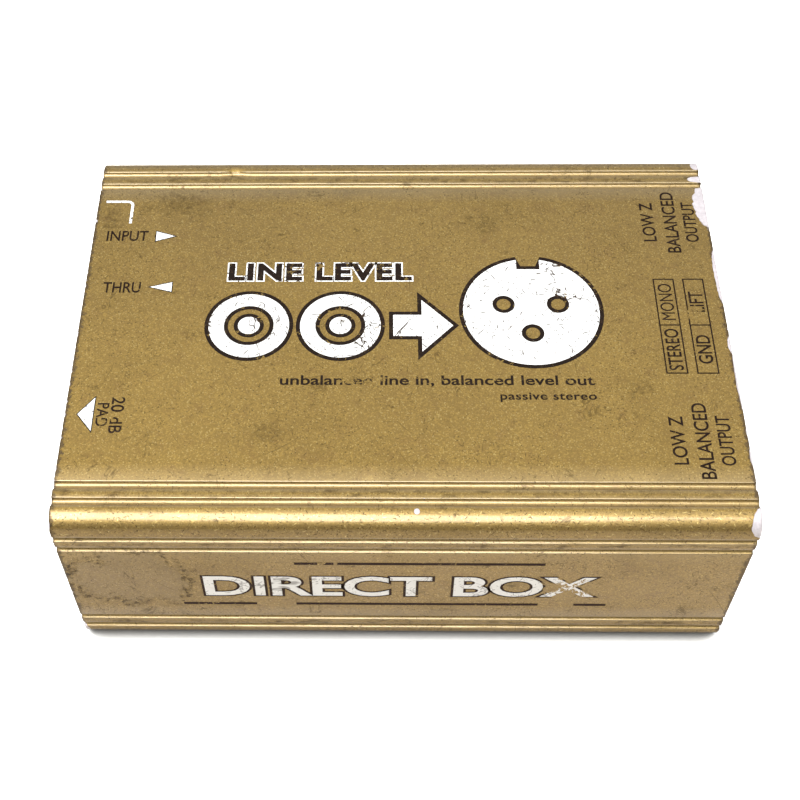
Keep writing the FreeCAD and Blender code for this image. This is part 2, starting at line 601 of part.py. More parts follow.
# ---- 3.5 mm jack --------------------------------------------------------------------------------
MINIJACK_THREAD_R = 3.0
MINIJACK_BORE_R = 1.8
MINIJACK_TIP = 3.4
MINIJACK_EDGE_R = 0.3
MINIJACK_BODY_R = 4.4
MINIJACK_BODY_FRONT = -PANEL_THICKNESS - 1.5   # the bushing's collar fills the space before it
MINIJACK_BODY_END = -13.0
MINIJACK_WELL_GAP = 0.2            # the body's bore is this much wider than the bushing's
MINIJACK_CHANNEL_HALF = (1.1, 3.4)
MINIJACK_NUT_HEIGHT = 2.0
MINIJACK_NUT_R = 4.1
MINIJACK_NUT_SLOT_FLOOR = 1.1
MINIJACK_NUT_SLOT_HALF_WIDTH = 0.5
MINIJACK_LEAF_START = -5.0
MINIJACK_LEAF_END = -16.5
MINIJACK_LEAF_Z = 3.05             # from the jack's axis to the middle of a contact leaf
MINIJACK_LEAF_HALF_WIDTH = 0.9
MINIJACK_LEAF_THICKNESS = 0.3
MINIJACK_HOOK_LENGTH = 0.4
MINIJACK_HOOKS = ((0.0, -9.5, 1.55), (180.0, -7.0, 1.35))   # turn, place along the axis, reach towards it


def minijack_bushing():
    """The threaded bushing and the collar that bears on the panel from inside."""
    thread = eased(rod((-PANEL_THICKNESS, MINIJACK_TIP), MINIJACK_THREAD_R), MINIJACK_TIP, MINIJACK_EDGE_R)
    collar = rod((MINIJACK_BODY_FRONT, -PANEL_THICKNESS), MINIJACK_BODY_R)
    return fuse([thread, collar]).cut(rod(THROUGH, MINIJACK_BORE_R))


def minijack_nut():
    """The round nut, with two slots across its face for a spanner."""
    ring = tube((0, MINIJACK_NUT_HEIGHT), MINIJACK_NUT_R, MINIJACK_THREAD_R + THREAD_GAP)
    deep = (MINIJACK_NUT_SLOT_FLOOR, MINIJACK_NUT_HEIGHT + PAST)
    width, length = around(0, MINIJACK_NUT_SLOT_HALF_WIDTH), around(0, MINIJACK_NUT_R + PAST)
    return ring.cut([block(deep, length, width), block(deep, width, length)])


def minijack_body():
    """The moulded barrel behind the bushing, slotted above and below for the contact leaves."""
    body = rod((MINIJACK_BODY_END, MINIJACK_BODY_FRONT), MINIJACK_BODY_R)
    well = rod((MINIJACK_BODY_END - PAST, MINIJACK_BODY_FRONT + PAST), MINIJACK_BORE_R + MINIJACK_WELL_GAP)
    half_width, half_height = MINIJACK_CHANNEL_HALF
    channel = block((MINIJACK_BODY_END - PAST, MINIJACK_BODY_FRONT - PAST), around(0, half_width),
                    around(0, half_height))
    return body.cut([well, channel])


def minijack_contacts():
    """Two sprung leaves, each with a hook that presses on the plug."""
    leaf_z = around(MINIJACK_LEAF_Z, MINIJACK_LEAF_THICKNESS / 2)
    width = around(0, MINIJACK_LEAF_HALF_WIDTH)
    springs = []
    for turn, hook_x, reach in MINIJACK_HOOKS:
        leaf = block((MINIJACK_LEAF_END, MINIJACK_LEAF_START), width, leaf_z)
        hook = block((hook_x, hook_x + MINIJACK_HOOK_LENGTH), width, (reach, leaf_z[1]))
        springs.append(fuse([leaf, hook]).rotated(Vector(0, 0, 0), Vector(1, 0, 0), turn))
    return springs


def make_minijack():
    spot = (INPUT_END, MINIJACK_Y, MID_Z)
    save("minijack_bushing", placed(minijack_bushing(), *spot))
    save("minijack_nut", placed(minijack_nut(), *spot))
    save("minijack_body", placed(minijack_body(), *spot))
    save("minijack_contacts", [placed(s, *spot) for s in minijack_contacts()])


# ---- transformers -------------------------------------------------------------------------------
TRANSFORMER_X = 2.0
TRANSFORMER_Y = 18.5
CORE_LEG = 5.0                     # a side leg; the middle leg is twice as wide
CORE_WINDOW = (5.0, 15.0)
CORE_STACK = 10.0
CORE_BOTTOM = BOARD_TOP + 1.0
BOBBIN_WALL = 0.9
BOBBIN_FLANGE = 1.0
BOBBIN_GAP = 0.1
WINDING_GAP = 0.3                  # between the winding and the bobbin's rim
WINDING_CORNER_R = 2.0
CAN_HALF = (16.2, 11.2)
CAN_SKIN = 0.6
CAN_CORNER_R = 2.5
CAN_TOP_EDGE_R = 1.2
CAN_TAB_X = (-10.0, 10.0)
CAN_TAB_HALF_WIDTH = 1.0
LEAD_STUB = 1.4                    # how far a soldered lead stands below the board
BOBBIN_PIN_R = 0.4
BOBBIN_PIN_HOLE_R = 0.45
BOBBIN_PIN_UP = 3.4                # how far a pin reaches into its foot
BOBBIN_PIN_X = (-7.5, 0.0, 7.5)

CORE_HALF_LENGTH = 2 * CORE_LEG + CORE_WINDOW[0]
WINDOW_BOTTOM = CORE_BOTTOM + CORE_LEG
WINDOW_TOP = WINDOW_BOTTOM + CORE_WINDOW[1]
CORE_TOP = WINDOW_TOP + CORE_LEG
CAN_TOP = CORE_TOP + 2.0
CAN_INNER_HALF = (CAN_HALF[0] - CAN_SKIN, CAN_HALF[1] - CAN_SKIN)
BOBBIN_LOW = WINDOW_BOTTOM + BOBBIN_GAP
BOBBIN_HIGH = WINDOW_TOP - BOBBIN_GAP
BOBBIN_INNER = (CORE_LEG + BOBBIN_GAP, CORE_STACK / 2 + BOBBIN_GAP)
BOBBIN_OUTER = (BOBBIN_INNER[0] + BOBBIN_WALL, BOBBIN_INNER[1] + BOBBIN_WALL)
BOBBIN_RIM = (CORE_LEG + CORE_WINDOW[0] - BOBBIN_GAP, CORE_STACK / 2 + CORE_WINDOW[0] - BOBBIN_GAP)
BOBBIN_PIN_Y = (BOBBIN_INNER[1] + BOBBIN_RIM[1]) / 2
BOBBIN_PINS = [(x, side * BOBBIN_PIN_Y) for x in BOBBIN_PIN_X for side in SIDES]
CAN_TABS = [(x, side) for x in CAN_TAB_X for side in SIDES]


def ring_block(z, inner, outer):
    """A rectangular ring between the heights z; inner and outer are half sizes in X and Y."""
    hole = block(around(0, inner[0]), around(0, inner[1]), (z[0] - PAST, z[1] + PAST))
    return block(around(0, outer[0]), around(0, outer[1]), z).cut(hole)


def transformer_core():
    """The E and I laminations, as one block with two windows."""
    stack = block(around(0, CORE_HALF_LENGTH), around(0, CORE_STACK / 2), (CORE_BOTTOM, CORE_TOP))
    return stack.cut([block((side * CORE_LEG, side * (CORE_LEG + CORE_WINDOW[0])), around(0, CORE_STACK),
                            (WINDOW_BOTTOM, WINDOW_TOP)) for side in SIDES])


def transformer_bobbin():
    """The nylon former on the middle leg, with two feet that carry the pins."""
    parts = [ring_block((BOBBIN_LOW, BOBBIN_HIGH), BOBBIN_INNER, BOBBIN_OUTER),
             ring_block((BOBBIN_LOW, BOBBIN_LOW + BOBBIN_FLANGE), BOBBIN_INNER, BOBBIN_RIM),
             ring_block((BOBBIN_HIGH - BOBBIN_FLANGE, BOBBIN_HIGH), BOBBIN_INNER, BOBBIN_RIM)]
    parts += [block(around(0, BOBBIN_RIM[0]), (side * BOBBIN_INNER[1], side * BOBBIN_RIM[1]),
                    (BOARD_TOP, BOBBIN_LOW + BOBBIN_FLANGE / 2)) for side in SIDES]
    holes = [post((BOARD_TOP - PAST, BOARD_TOP + BOBBIN_PIN_UP + OVERLAP), BOBBIN_PIN_HOLE_R, x, y)
             for x, y in BOBBIN_PINS]
    return fuse(parts).cut(holes)


def transformer_winding():
    """The taped coil, rounded at its corners."""
    z = (BOBBIN_LOW + BOBBIN_FLANGE + PRESS_GAP, BOBBIN_HIGH - BOBBIN_FLANGE - PRESS_GAP)
    inner = (BOBBIN_OUTER[0] + PRESS_GAP, BOBBIN_OUTER[1] + PRESS_GAP)
    outer = (BOBBIN_RIM[0] - WINDING_GAP, BOBBIN_RIM[1] - WINDING_GAP)
    coil = ring_block(z, inner, outer)
    upright = [e for e in coil.Edges if e.BoundBox.ZLength > 1
               and abs(abs(e.BoundBox.Center.x) - outer[0]) < 0.01]
    return coil.makeFillet(WINDING_CORNER_R, upright)


def transformer_can():
    """The drawn magnetic shield, open below, with four tabs through the board."""
    half_height = (CAN_TOP - BOARD_TOP) / 2
    box = block(around(0, CAN_HALF[0]), around(0, CAN_HALF[1]), (BOARD_TOP, CAN_TOP))
    box = box.makeFillet(CAN_CORNER_R, [e for e in box.Edges if e.BoundBox.ZLength > half_height])
    box = box.makeFillet(CAN_TOP_EDGE_R, [e for e in box.Edges if e.BoundBox.ZMin > CAN_TOP - 1e-6])
    hollow = block(around(0, CAN_INNER_HALF[0]), around(0, CAN_INNER_HALF[1]),
                   (BOARD_TOP - PAST, CAN_TOP - CAN_SKIN))
    hollow = hollow.makeFillet(CAN_CORNER_R - CAN_SKIN,
                               [e for e in hollow.Edges if e.BoundBox.ZLength > half_height])
    tabs = [block(around(x, CAN_TAB_HALF_WIDTH), (side * CAN_INNER_HALF[1], side * CAN_HALF[1]),
                  (BOARD_BOTTOM - PAST, BOARD_TOP + PAST)) for x, side in CAN_TABS]
    return fuse([box.cut(hollow)] + tabs)


def can_tab_slots():
    """The four slots in the board for one can's tabs, as cutting blocks."""
    return [block(around(x, CAN_TAB_HALF_WIDTH + BOARD_GAP),
                  (side * (CAN_INNER_HALF[1] - BOARD_GAP), side * (CAN_HALF[1] + BOARD_GAP)),
                  (BOARD_BOTTOM - PAST, BOARD_TOP + PAST)) for x, side in CAN_TABS]


def make_transformers():
    pins = []
    for name, y0 in (("front", -TRANSFORMER_Y), ("rear", TRANSFORMER_Y)):
        shift = Vector(TRANSFORMER_X, y0, 0)
        save(f"{name}_transformer_core", transformer_core().translated(shift))
        save(f"{name}_transformer_bobbin", transformer_bobbin().translated(shift))
        save(f"{name}_transformer_winding", transformer_winding().translated(shift))
        save(f"{name}_transformer_can", transformer_can().translated(shift))
        upright = (BOARD_BOTTOM - LEAD_STUB, BOARD_TOP + BOBBIN_PIN_UP)
        pins += [post(upright, BOBBIN_PIN_R, x, y).translated(shift) for x, y in BOBBIN_PINS]
    save("transformer_pins", pins)


# ---- resistors and capacitor --------------------------------------------------------------------
LEAD_R = 0.3
HOLE_GAP = 0.15
RESISTOR_X = -27.0
RESISTOR_YS = [side * y for side in SIDES for y in (11.5, 17.0, 22.5, 28.0)]
RESISTOR_PITCH = 10.0              # between one resistor's two board holes
RESISTOR_HALF_LENGTH = 3.2
RESISTOR_BODY_R = 1.0
RESISTOR_CAP_R = 1.2
RESISTOR_CAP_LENGTH = 1.3
RESISTOR_CAP_EDGE_R = 0.35
RESISTOR_AXIS_Z = BOARD_TOP + 1.3
CAPACITOR_PLACE = (30.0, 0.0)
CAPACITOR_PITCH = 5.0
CAPACITOR_HALF = (1.4, 3.6)
CAPACITOR_Z = (BOARD_TOP + 0.2, BOARD_TOP + 7.5)
CAPACITOR_EDGE_R = 0.3


def resistor(y):
    """A quarter-watt resistor lying on the board, with its leads bent down through it."""
    low, high = around(RESISTOR_X, RESISTOR_HALF_LENGTH)
    body = rod((low, high), RESISTOR_BODY_R, y, RESISTOR_AXIS_Z)
    caps = [rod(x, RESISTOR_CAP_R, y, RESISTOR_AXIS_Z)
            for x in ((low, low + RESISTOR_CAP_LENGTH), (high - RESISTOR_CAP_LENGTH, high))]
    caps = [c.makeFillet(RESISTOR_CAP_EDGE_R, c.Edges[0:1] + c.Edges[2:3]) for c in caps]
    leads = []
    for side in SIDES:
        x = RESISTOR_X + side * RESISTOR_PITCH / 2
        inside = RESISTOR_X + side * (RESISTOR_HALF_LENGTH - OVERLAP)
        leads += [rod(sorted((x, inside)), LEAD_R, y, RESISTOR_AXIS_Z),
                  post((BOARD_BOTTOM - LEAD_STUB, RESISTOR_AXIS_Z), LEAD_R, x, y),
                  Part.makeSphere(LEAD_R, Vector(x, y, RESISTOR_AXIS_Z))]
    return fuse([body] + caps + leads)


def ground_lift_capacitor():
    x, y = CAPACITOR_PLACE
    box = block(around(x, CAPACITOR_HALF[0]), around(y, CAPACITOR_HALF[1]), CAPACITOR_Z)
    box = box.makeFillet(CAPACITOR_EDGE_R, box.Edges)
    upright = (BOARD_BOTTOM - LEAD_STUB, CAPACITOR_Z[0] + PAST)
    leads = [post(upright, LEAD_R, x, y + side * CAPACITOR_PITCH / 2) for side in SIDES]
    return fuse([box] + leads)


def make_small_parts():
    save("pad_resistors", [resistor(y) for y in RESISTOR_YS])
    save("lift_capacitor", ground_lift_capacitor())


# ---- wiring -------------------------------------------------------------------------------------
WIRE_R = 0.55
BARE_WIRE_R = 0.4
WIRE_BEND_R = 2.0
SOLDER_GAP = 0.02                  # a soldered end stops this far short of the metal it joins
WIRE_END_Z = BOARD_BOTTOM - 1.0
WIRE_PITCH = 2.2                   # between neighbouring wires' board holes
XLR_WIRE_RUN = 11.0                # from a solder cup to the bend down to the board
XLR_CUP_X = PANEL_OUTER_X + XLR_INSERT_BACK - XLR_CUP_LENGTH + XLR_CUP_DEPTH - OVERLAP
SWITCH_TAIL_X = PANEL_INNER_X + TERMINAL_BOARD[0] - TERMINAL_TAIL_LENGTH - SOLDER_GAP
RCA_PIN_X = PANEL_OUTER_X + RCA_TERMINAL_END - SOLDER_GAP
MINIJACK_TAIL_X = PANEL_OUTER_X + MINIJACK_LEAF_END - SOLDER_GAP
TAG_WIRE_X = PANEL_OUTER_X + RCA_TAG[0] - BARE_WIRE_R - SOLDER_GAP
TAG_WIRE_LIFT = 7.2                # from a jack's axis up to its ground wire
TAG_WIRE_START_Y = RCA_INPUT_Y + 1.5
TAG_WIRE_DROP_YS = (0.8, 3.0)      # where each row's ground wire turns down to the board


def wire_runs():
    """Each node's wires, as (x, y, z) of the soldered end and the x of the hole in the board."""
    runs = {
        "output_wires": [(XLR_CUP_X, y0 + dy, MID_Z + dz, XLR_CUP_X - XLR_WIRE_RUN)
                         for y0 in (-XLR_Y, XLR_Y) for dy, dz in XLR_PIN_PLACES],
        "output_switch_wires": [],
        "pad_switch_wires": [],
        "input_wires": [(-RCA_PIN_X, y, z, -RCA_PIN_X + WIRE_PITCH * (1 + row))
                        for y in RCA_COLUMNS for row, z in enumerate(reversed(RCA_ROWS))],
        "minijack_wires": [(-MINIJACK_TAIL_X, MINIJACK_Y, MID_Z + side * MINIJACK_LEAF_Z,
                            -MINIJACK_TAIL_X + WIRE_PITCH * (1.5 + side / 2)) for side in SIDES],
    }
    for y, dz in TERMINAL_PLACES:
        for level, z0 in enumerate((MID_Z - OUTPUT_SWITCH_HALF_PITCH, MID_Z + OUTPUT_SWITCH_HALF_PITCH)):
            row = 2 * level + (1 if dz > 0 else 0)
            foot_x = SWITCH_TAIL_X - WIRE_PITCH * (1 + row)
            runs["output_switch_wires"].append((SWITCH_TAIL_X, y, z0 + dz, foot_x))
        foot_x = -SWITCH_TAIL_X + WIRE_PITCH * (2 + y / SWITCH_TRAVEL)
        runs["pad_switch_wires"].append((-SWITCH_TAIL_X, PAD_SWITCH_Y + dz, MID_Z + y, foot_x))
    return runs


def ground_runs():
    """The bare wires that join each row of jack tags to the board."""
    return [[(-TAG_WIRE_X, TAG_WIRE_START_Y, z + TAG_WIRE_LIFT), (-TAG_WIRE_X, y_drop, z + TAG_WIRE_LIFT),
             (-TAG_WIRE_X, y_drop, WIRE_END_Z)] for z, y_drop in zip(RCA_ROWS, TAG_WIRE_DROP_YS)]


def make_wiring():
    for name, runs in wire_runs().items():
        save(name, [routed_wire([(x, y, z), (foot_x, y, z), (foot_x, y, WIRE_END_Z)], WIRE_R, WIRE_BEND_R)
                    for x, y, z, foot_x in runs])
    save("ground_wires", [routed_wire(points, BARE_WIRE_R, WIRE_BEND_R) for points in ground_runs()])


# ---- circuit board ------------------------------------------------------------------------------
def board_holes():
    """(x, y, radius) of every round hole in the board."""
    holes = [(foot_x, y, WIRE_R + HOLE_GAP) for runs in wire_runs().values() for x, y, z, foot_x in runs]
    holes += [(points[-1][0], points[-1][1], BARE_WIRE_R + HOLE_GAP) for points in ground_runs()]
    for side in SIDES:
        holes += [(RESISTOR_X + side * RESISTOR_PITCH / 2, y, LEAD_R + HOLE_GAP) for y in RESISTOR_YS]
        x, y = CAPACITOR_PLACE
        holes.append((x, y + side * CAPACITOR_PITCH / 2, LEAD_R + HOLE_GAP))
        holes += [(TRANSFORMER_X + x, side * TRANSFORMER_Y + y, BOBBIN_PIN_HOLE_R) for x, y in BOBBIN_PINS]
    return holes


def make_board():
    board = block(around(0, BOARD_HALF_LENGTH), around(0, BOARD_HALF_WIDTH), (BOARD_BOTTOM, BOARD_TOP))
    through = (BOARD_BOTTOM - PAST, BOARD_TOP + PAST)
    cutters = [post(through, r, x, y) for x, y, r in board_holes()]
    for side in SIDES:
        shift = Vector(TRANSFORMER_X, side * TRANSFORMER_Y, 0)
        cutters += [slot.translated(shift) for slot in can_tab_slots()]
    save("circuit_board", board.cut(cutters))


def main():
    os.makedirs("parts", exist_ok=True)
    make_case()
    make_panels()
    make_panel_screws()
    make_switches()
    make_xlr_connectors()
    make_rca_jacks()
    make_minijack()
    make_transformers()
    make_small_parts()
    make_wiring()
    make_board()


main()
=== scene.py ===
"""Looks for a stereo direct injection box: worn gold case, printed legends, connectors and studio."""
import json
import math

import bmesh
import bpy
from mathutils import Matrix, Vector, noise


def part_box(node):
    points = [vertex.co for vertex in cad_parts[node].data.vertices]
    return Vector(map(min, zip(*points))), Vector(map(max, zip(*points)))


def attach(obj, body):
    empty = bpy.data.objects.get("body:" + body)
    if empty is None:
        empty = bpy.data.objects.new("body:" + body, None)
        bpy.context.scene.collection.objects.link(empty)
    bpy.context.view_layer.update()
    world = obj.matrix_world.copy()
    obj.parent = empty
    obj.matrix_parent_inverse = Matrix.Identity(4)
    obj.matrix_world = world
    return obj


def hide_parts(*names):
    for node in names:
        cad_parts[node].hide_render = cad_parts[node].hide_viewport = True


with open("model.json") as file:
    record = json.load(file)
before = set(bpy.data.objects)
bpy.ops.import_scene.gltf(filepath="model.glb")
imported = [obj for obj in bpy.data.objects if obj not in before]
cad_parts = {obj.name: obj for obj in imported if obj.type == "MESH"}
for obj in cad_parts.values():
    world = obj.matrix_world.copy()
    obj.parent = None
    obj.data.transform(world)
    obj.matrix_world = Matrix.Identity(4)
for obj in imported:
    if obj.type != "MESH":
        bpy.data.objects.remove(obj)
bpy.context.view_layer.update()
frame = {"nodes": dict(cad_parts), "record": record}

MM = 0.001
CASE_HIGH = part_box("extruded_case")[1]
HALF_LENGTH = CASE_HIGH.x / MM
HALF_WIDTH = CASE_HIGH.y / MM
HEIGHT = CASE_HIGH.z / MM

# The case's section, in millimetres.
WALL = 2.3
CORNER_R = 3.75
GROOVE_OFFSETS = (5.25, 8.85)
GROOVE_R = 0.8
GROOVE_DEPTH = 0.7
LIP_R = 0.22
# Lip weight in the groove bottoms: it sets their pale tint (rubbed paint and painted highlight
# whitening), chips and knocks.
GROOVE_RUB_AND_SHEEN = 0.4                # how pale the grooves are, beside 1 for their lips
RIM_R = 0.35                    # rounding of the sawn ends

# Print thickness above the paint, in millimetres.
INK_LIFT = 0.02
INK_STEP = 0.015
LEGEND_GROWTH = 0.04            # how much bolder the small legends are than the font


# ---- node graphs --------------------------------------------------------------------------------
class Graph:
    """A material's node tree, with short calls for the nodes used here."""

    def __init__(self, name):
        self.material = bpy.data.materials.new(name)
        self.material.use_nodes = True
        self.tree = self.material.node_tree
        self.tree.nodes.clear()
        self.place = self.add("TexCoord").outputs["Object"]

    def add(self, kind, **settings):
        node = self.tree.nodes.new("ShaderNode" + kind)
        for key, value in settings.items():
            setattr(node, key, value)
        return node

    def put(self, socket, value):
        """Links a socket to a socket, or sets a plain value."""
        if isinstance(value, bpy.types.NodeSocket):
            self.tree.links.new(value, socket)
        elif value is not None:
            socket.default_value = value

    def math(self, operation, a, b=None, clamp=False):
        node = self.add("Math", operation=operation, use_clamp=clamp)
        self.put(node.inputs[0], a)
        self.put(node.inputs[1], b)
        return node.outputs[0]

    def span(self, value, low, high, to_low=0.0, to_high=1.0):
        """Maps low..high to to_low..to_high, clamped."""
        node = self.add("MapRange")
        for socket, setting in zip(node.inputs, (value, low, high, to_low, to_high)):
            self.put(socket, setting)
        return node.outputs[0]

    def mix(self, factor, a, b):
        node = self.add("Mix", data_type="RGBA")
        for key, value in (("Factor", factor), ("A", a), ("B", b)):
            socket = next(s for s in node.inputs if s.name == key and s.enabled
                          and (key == "Factor" or s.type == "RGBA"))
            self.put(socket, value)
        return next(s for s in node.outputs if s.type == "RGBA")

    def scaled(self, factors, shift=(0, 0, 0)):
        """The object's coordinates, stretched by one factor on each axis."""
        node = self.add("Mapping")
        self.put(node.inputs["Vector"], self.place)
        self.put(node.inputs["Scale"], factors)
        self.put(node.inputs["Location"], shift)
        return node.outputs[0]

    def noise(self, size_mm, detail=2.0, roughness=0.5, place=None, distortion=0.0):
        """Fractal noise whose largest features are about size_mm across."""
        node = self.add("TexNoise")
        self.put(node.inputs["Vector"], place or self.place)
        self.put(node.inputs["Scale"], 1.0 / (size_mm * MM))
        self.put(node.inputs["Detail"], detail)
        self.put(node.inputs["Roughness"], roughness)
        self.put(node.inputs["Distortion"], distortion)
        return node.outputs["Fac"]

    def cells(self, size_mm, output, feature="F1"):
        """Voronoi cells about size_mm across."""
        node = self.add("TexVoronoi", feature=feature)
        self.put(node.inputs["Vector"], self.place)
        self.put(node.inputs["Scale"], 1.0 / (size_mm * MM))
        return node.outputs[output]

    def vector(self, operation, a, b=None, output="Vector"):
        node = self.add("VectorMath", operation=operation)
        self.put(node.inputs[0], a)
        self.put(node.inputs[1], b)
        return node.outputs[output]

    def axis(self, index, place=None):
        node = self.add("SeparateXYZ")
        self.put(node.inputs[0], place or self.place)
        return node.outputs[index]

    def attribute(self, name):
        return self.add("Attribute", attribute_name=name).outputs["Fac"]

    def bump(self, height, depth_mm, normal=None):
        node = self.add("Bump")
        self.put(node.inputs["Height"], height)
        self.put(node.inputs["Distance"], depth_mm * MM)
        self.put(node.inputs["Normal"], normal)
        return node.outputs[0]

    def surface(self, color, roughness, metallic, normal=None, **more):
        """A Principled surface; more names other sockets, with _ for a space."""
        node = self.add("BsdfPrincipled")
        self.put(node.inputs["Base Color"], color)
        self.put(node.inputs["Roughness"], roughness)
        self.put(node.inputs["Metallic"], metallic)
        self.put(node.inputs["Normal"], normal)
        for key, value in more.items():
            self.put(node.inputs[key.replace("_", " ")], value)
        return node.outputs[0]

    def blend(self, factor, a, b):
        node = self.add("MixShader")
        for socket, value in zip(node.inputs, (factor, a, b)):
            self.put(socket, value)
        return node.outputs[0]

    def finish(self, surface):
        output = self.add("OutputMaterial")
        self.put(output.inputs["Surface"], surface)
        return self.material


# ---- the worn gold paint ------------------------------------------------------------------------
GOLD_DARK = (0.155, 0.094, 0.017, 1)
GOLD_LIGHT = (0.400, 0.262, 0.056, 1)
# Colour of the painted flake glints, also used for the bright scuffs on the rounded corners.
FLAKE_GLINT_AND_SCUFF = (0.78, 0.62, 0.24, 1)
RUSTY_GOLD = (0.150, 0.072, 0.018, 1)
GRIME = (0.030, 0.018, 0.010, 1)
DULL_GOLD = (0.160, 0.112, 0.055, 1)
# Pale tint for the groove lips and corners: rubbed paint, and a painted whitening of the highlights
# there.
RUBBED_AND_SHEEN_GOLD = (0.360, 0.285, 0.170, 1)
BARE_METAL = (0.58, 0.54, 0.555, 1)

# Places where the paint is knocked off: centre x, y, z and reach x, y, z, in millimetres from the
# middle of the base. They sit on the two ends' edges and corners, where a box like this is dropped.
CHIPS = (
    ((64.4, 44.3, 45.0), (1.3, 1.5, 1.2)),
    ((65.2, 39.9, 45.0), (3.3, 0.85, 0.9)),
    ((65.4, 32.0, 45.0), (3.1, 6.6, 1.5)),
    ((65.1, 12.4, 45.0), (1.05, 7.6, 1.0)),
    ((65.1, -5.3, 45.0), (0.85, 2.4, 1.0)),
    ((65.1, -14.0, 45.0), (0.55, 7.0, 1.0)),
    ((65.1, -26.0, 45.0), (0.40, 1.3, 1.0)),
    ((65.1, -31.6, 45.0), (0.50, 2.6, 1.0)),
    ((65.2, -45.3, 43.6), (2.1, 3.0, 3.2)),
    ((2.5, -43.7, 45.0), (0.55, 0.62, 0.6)),
    ((-64.9, 28.1, 45.0), (0.45, 0.5, 0.6)),
    ((-65.1, -46.6, 44.0), (0.45, 1.2, 1.4)),
    ((-65.2, -47.0, 3.0), (1.2, 1.5, 2.0)),
    ((65.2, 47.0, 4.0), (2.0, 1.6, 2.4)),
    ((-65.2, 46.8, 41.0), (1.2, 1.2, 2.4)),
)

# Places where something spilt and dried, and where the paint was scraped, in the same way.
STAINS = (
    ((-53.0, -47.0, 25.0), (12.0, 4.0, 10.5)),
)
SCRAPES = (
    ((57.0, -47.0, 21.0), (6.5, 3.0, 11.0)),
    ((-30.0, 47.0, 24.0), (9.0, 3.0, 9.0)),
)

# Places where grime has gathered on the top.
SMUDGED = (
    ((-47.5, 32.5, 45.0), (8.0, 4.6, 3.0)),
    ((-61.5, 28.8, 45.0), (2.4, 4.4, 3.0)),
    ((-26.0, -26.4, 45.0), (5.0, 3.0, 3.0)),
    ((-15.9, -15.4, 45.0), (2.0, 2.2, 3.0)),
    ((17.9, 27.0, 45.0), (4.6, 3.4, 3.0)),
    ((45.9, -16.3, 45.0), (3.6, 2.6, 3.0)),
)

# A dent: centre and reach as above.
DENT = ((-35.8, 42.6, 45.0), (2.0, 1.1, 1.6))
DENT_DEPTH = 0.5

# How deep the smaller knocks go, and how far in from the sawn ends they are found.
CHIP_DEPTH = 0.10
LIP_DEPTH = 0.08
END_DEPTH = 0.09
END_REACH = 1.2


def nearest_of(g, places):
    """The distance to the nearest of the listed places, 1 at its reach."""
    nearest = None
    for centre, reach in places:
        place = g.scaled([1.0 / (r * MM) for r in reach], [-c / r for c, r in zip(centre, reach)])
        distance = g.vector("LENGTH", place, output="Value")
        nearest = distance if nearest is None else g.math("MINIMUM", nearest, distance)
    return nearest


def sleeve_sheet(g):
    """Flat coordinates for the sleeve: along X, and around it by Y + Z.

    Y turns back at the rear corner and Z at the lower ones, where their sum would stand still.
    """
    rear, low = (HALF_WIDTH - CORNER_R) * MM, CORNER_R * MM
    y = g.math("SUBTRACT", rear, g.math("ABSOLUTE", g.math("SUBTRACT", g.axis(1), rear)))
    z = g.math("ADD", low, g.math("ABSOLUTE", g.math("SUBTRACT", g.axis(2), low)))
    node = g.add("CombineXYZ")
    g.put(node.inputs[0], g.axis(0))
    g.put(node.inputs[1], g.math("ADD", y, z))
    return node.outputs[0]


def end_sheet(g):
    """Flat coordinates for the end panels: Y and Z."""
    node = g.add("CombineXYZ")
    g.put(node.inputs[0], g.axis(1))
    g.put(node.inputs[1], g.axis(2))
    return node.outputs[0]


def strongest(g, masks):
    """The largest of several masks."""
    total = masks[0]
    for mask in masks[1:]:
        total = g.math("MAXIMUM", total, mask)
    return total


def length_of(g, a, b):
    """The length of the vector (a, b)."""
    return g.math("SQRT", g.math("ADD", g.math("MULTIPLY", a, a), g.math("MULTIPLY", b, b)))


def over_corner(g):
    """How far a point lies past the axes of the long rounded corners, across and upwards."""
    y = g.math("ABSOLUTE", g.axis(1))
    z = g.math("ABSOLUTE", g.math("SUBTRACT", g.axis(2), HEIGHT / 2 * MM))
    return (g.math("SUBTRACT", y, (HALF_WIDTH - CORNER_R) * MM),
            g.math("SUBTRACT", z, (HEIGHT / 2 - CORNER_R) * MM))


def from_arris(g):
    """The distance from the sawn outer edges, along the outside or inwards across the cut."""
    over_y, over_z = over_corner(g)
    reach = length_of(g, g.math("MAXIMUM", over_y, 0.0), g.math("MAXIMUM", over_z, 0.0))
    flat = g.math("MINIMUM", g.math("MAXIMUM", over_y, over_z), 0.0)
    depth = g.math("SUBTRACT", CORNER_R * MM, g.math("ADD", reach, flat))
    from_end = g.math("SUBTRACT", HALF_LENGTH * MM, g.math("ABSOLUTE", g.axis(0)))
    return g.math("ADD", from_end, g.math("MAXIMUM", depth, 0.0))


def chip_mask(g):
    """1 where the paint is gone: at the listed chips, and in crumbs along the sawn rims and lips."""
    ragged = g.math("SUBTRACT", g.noise(2.4, 4.0, 0.55), 0.5)
    edge = g.math("ADD", nearest_of(g, CHIPS), g.math("MULTIPLY", ragged, 0.55))
    listed = g.span(edge, 1.0, 0.95)
    reach = g.span(g.noise(1.8, 5.0, 0.65), 0.45, 0.75, 0.03 * MM, 0.55 * MM)
    rim = g.math("LESS_THAN", from_arris(g), reach)
    lip = g.span(g.math("MULTIPLY", g.attribute("lip"), g.noise(3.0, 5.0, 0.7)), 0.64, 0.67)
    return strongest(g, (listed, rim, lip))


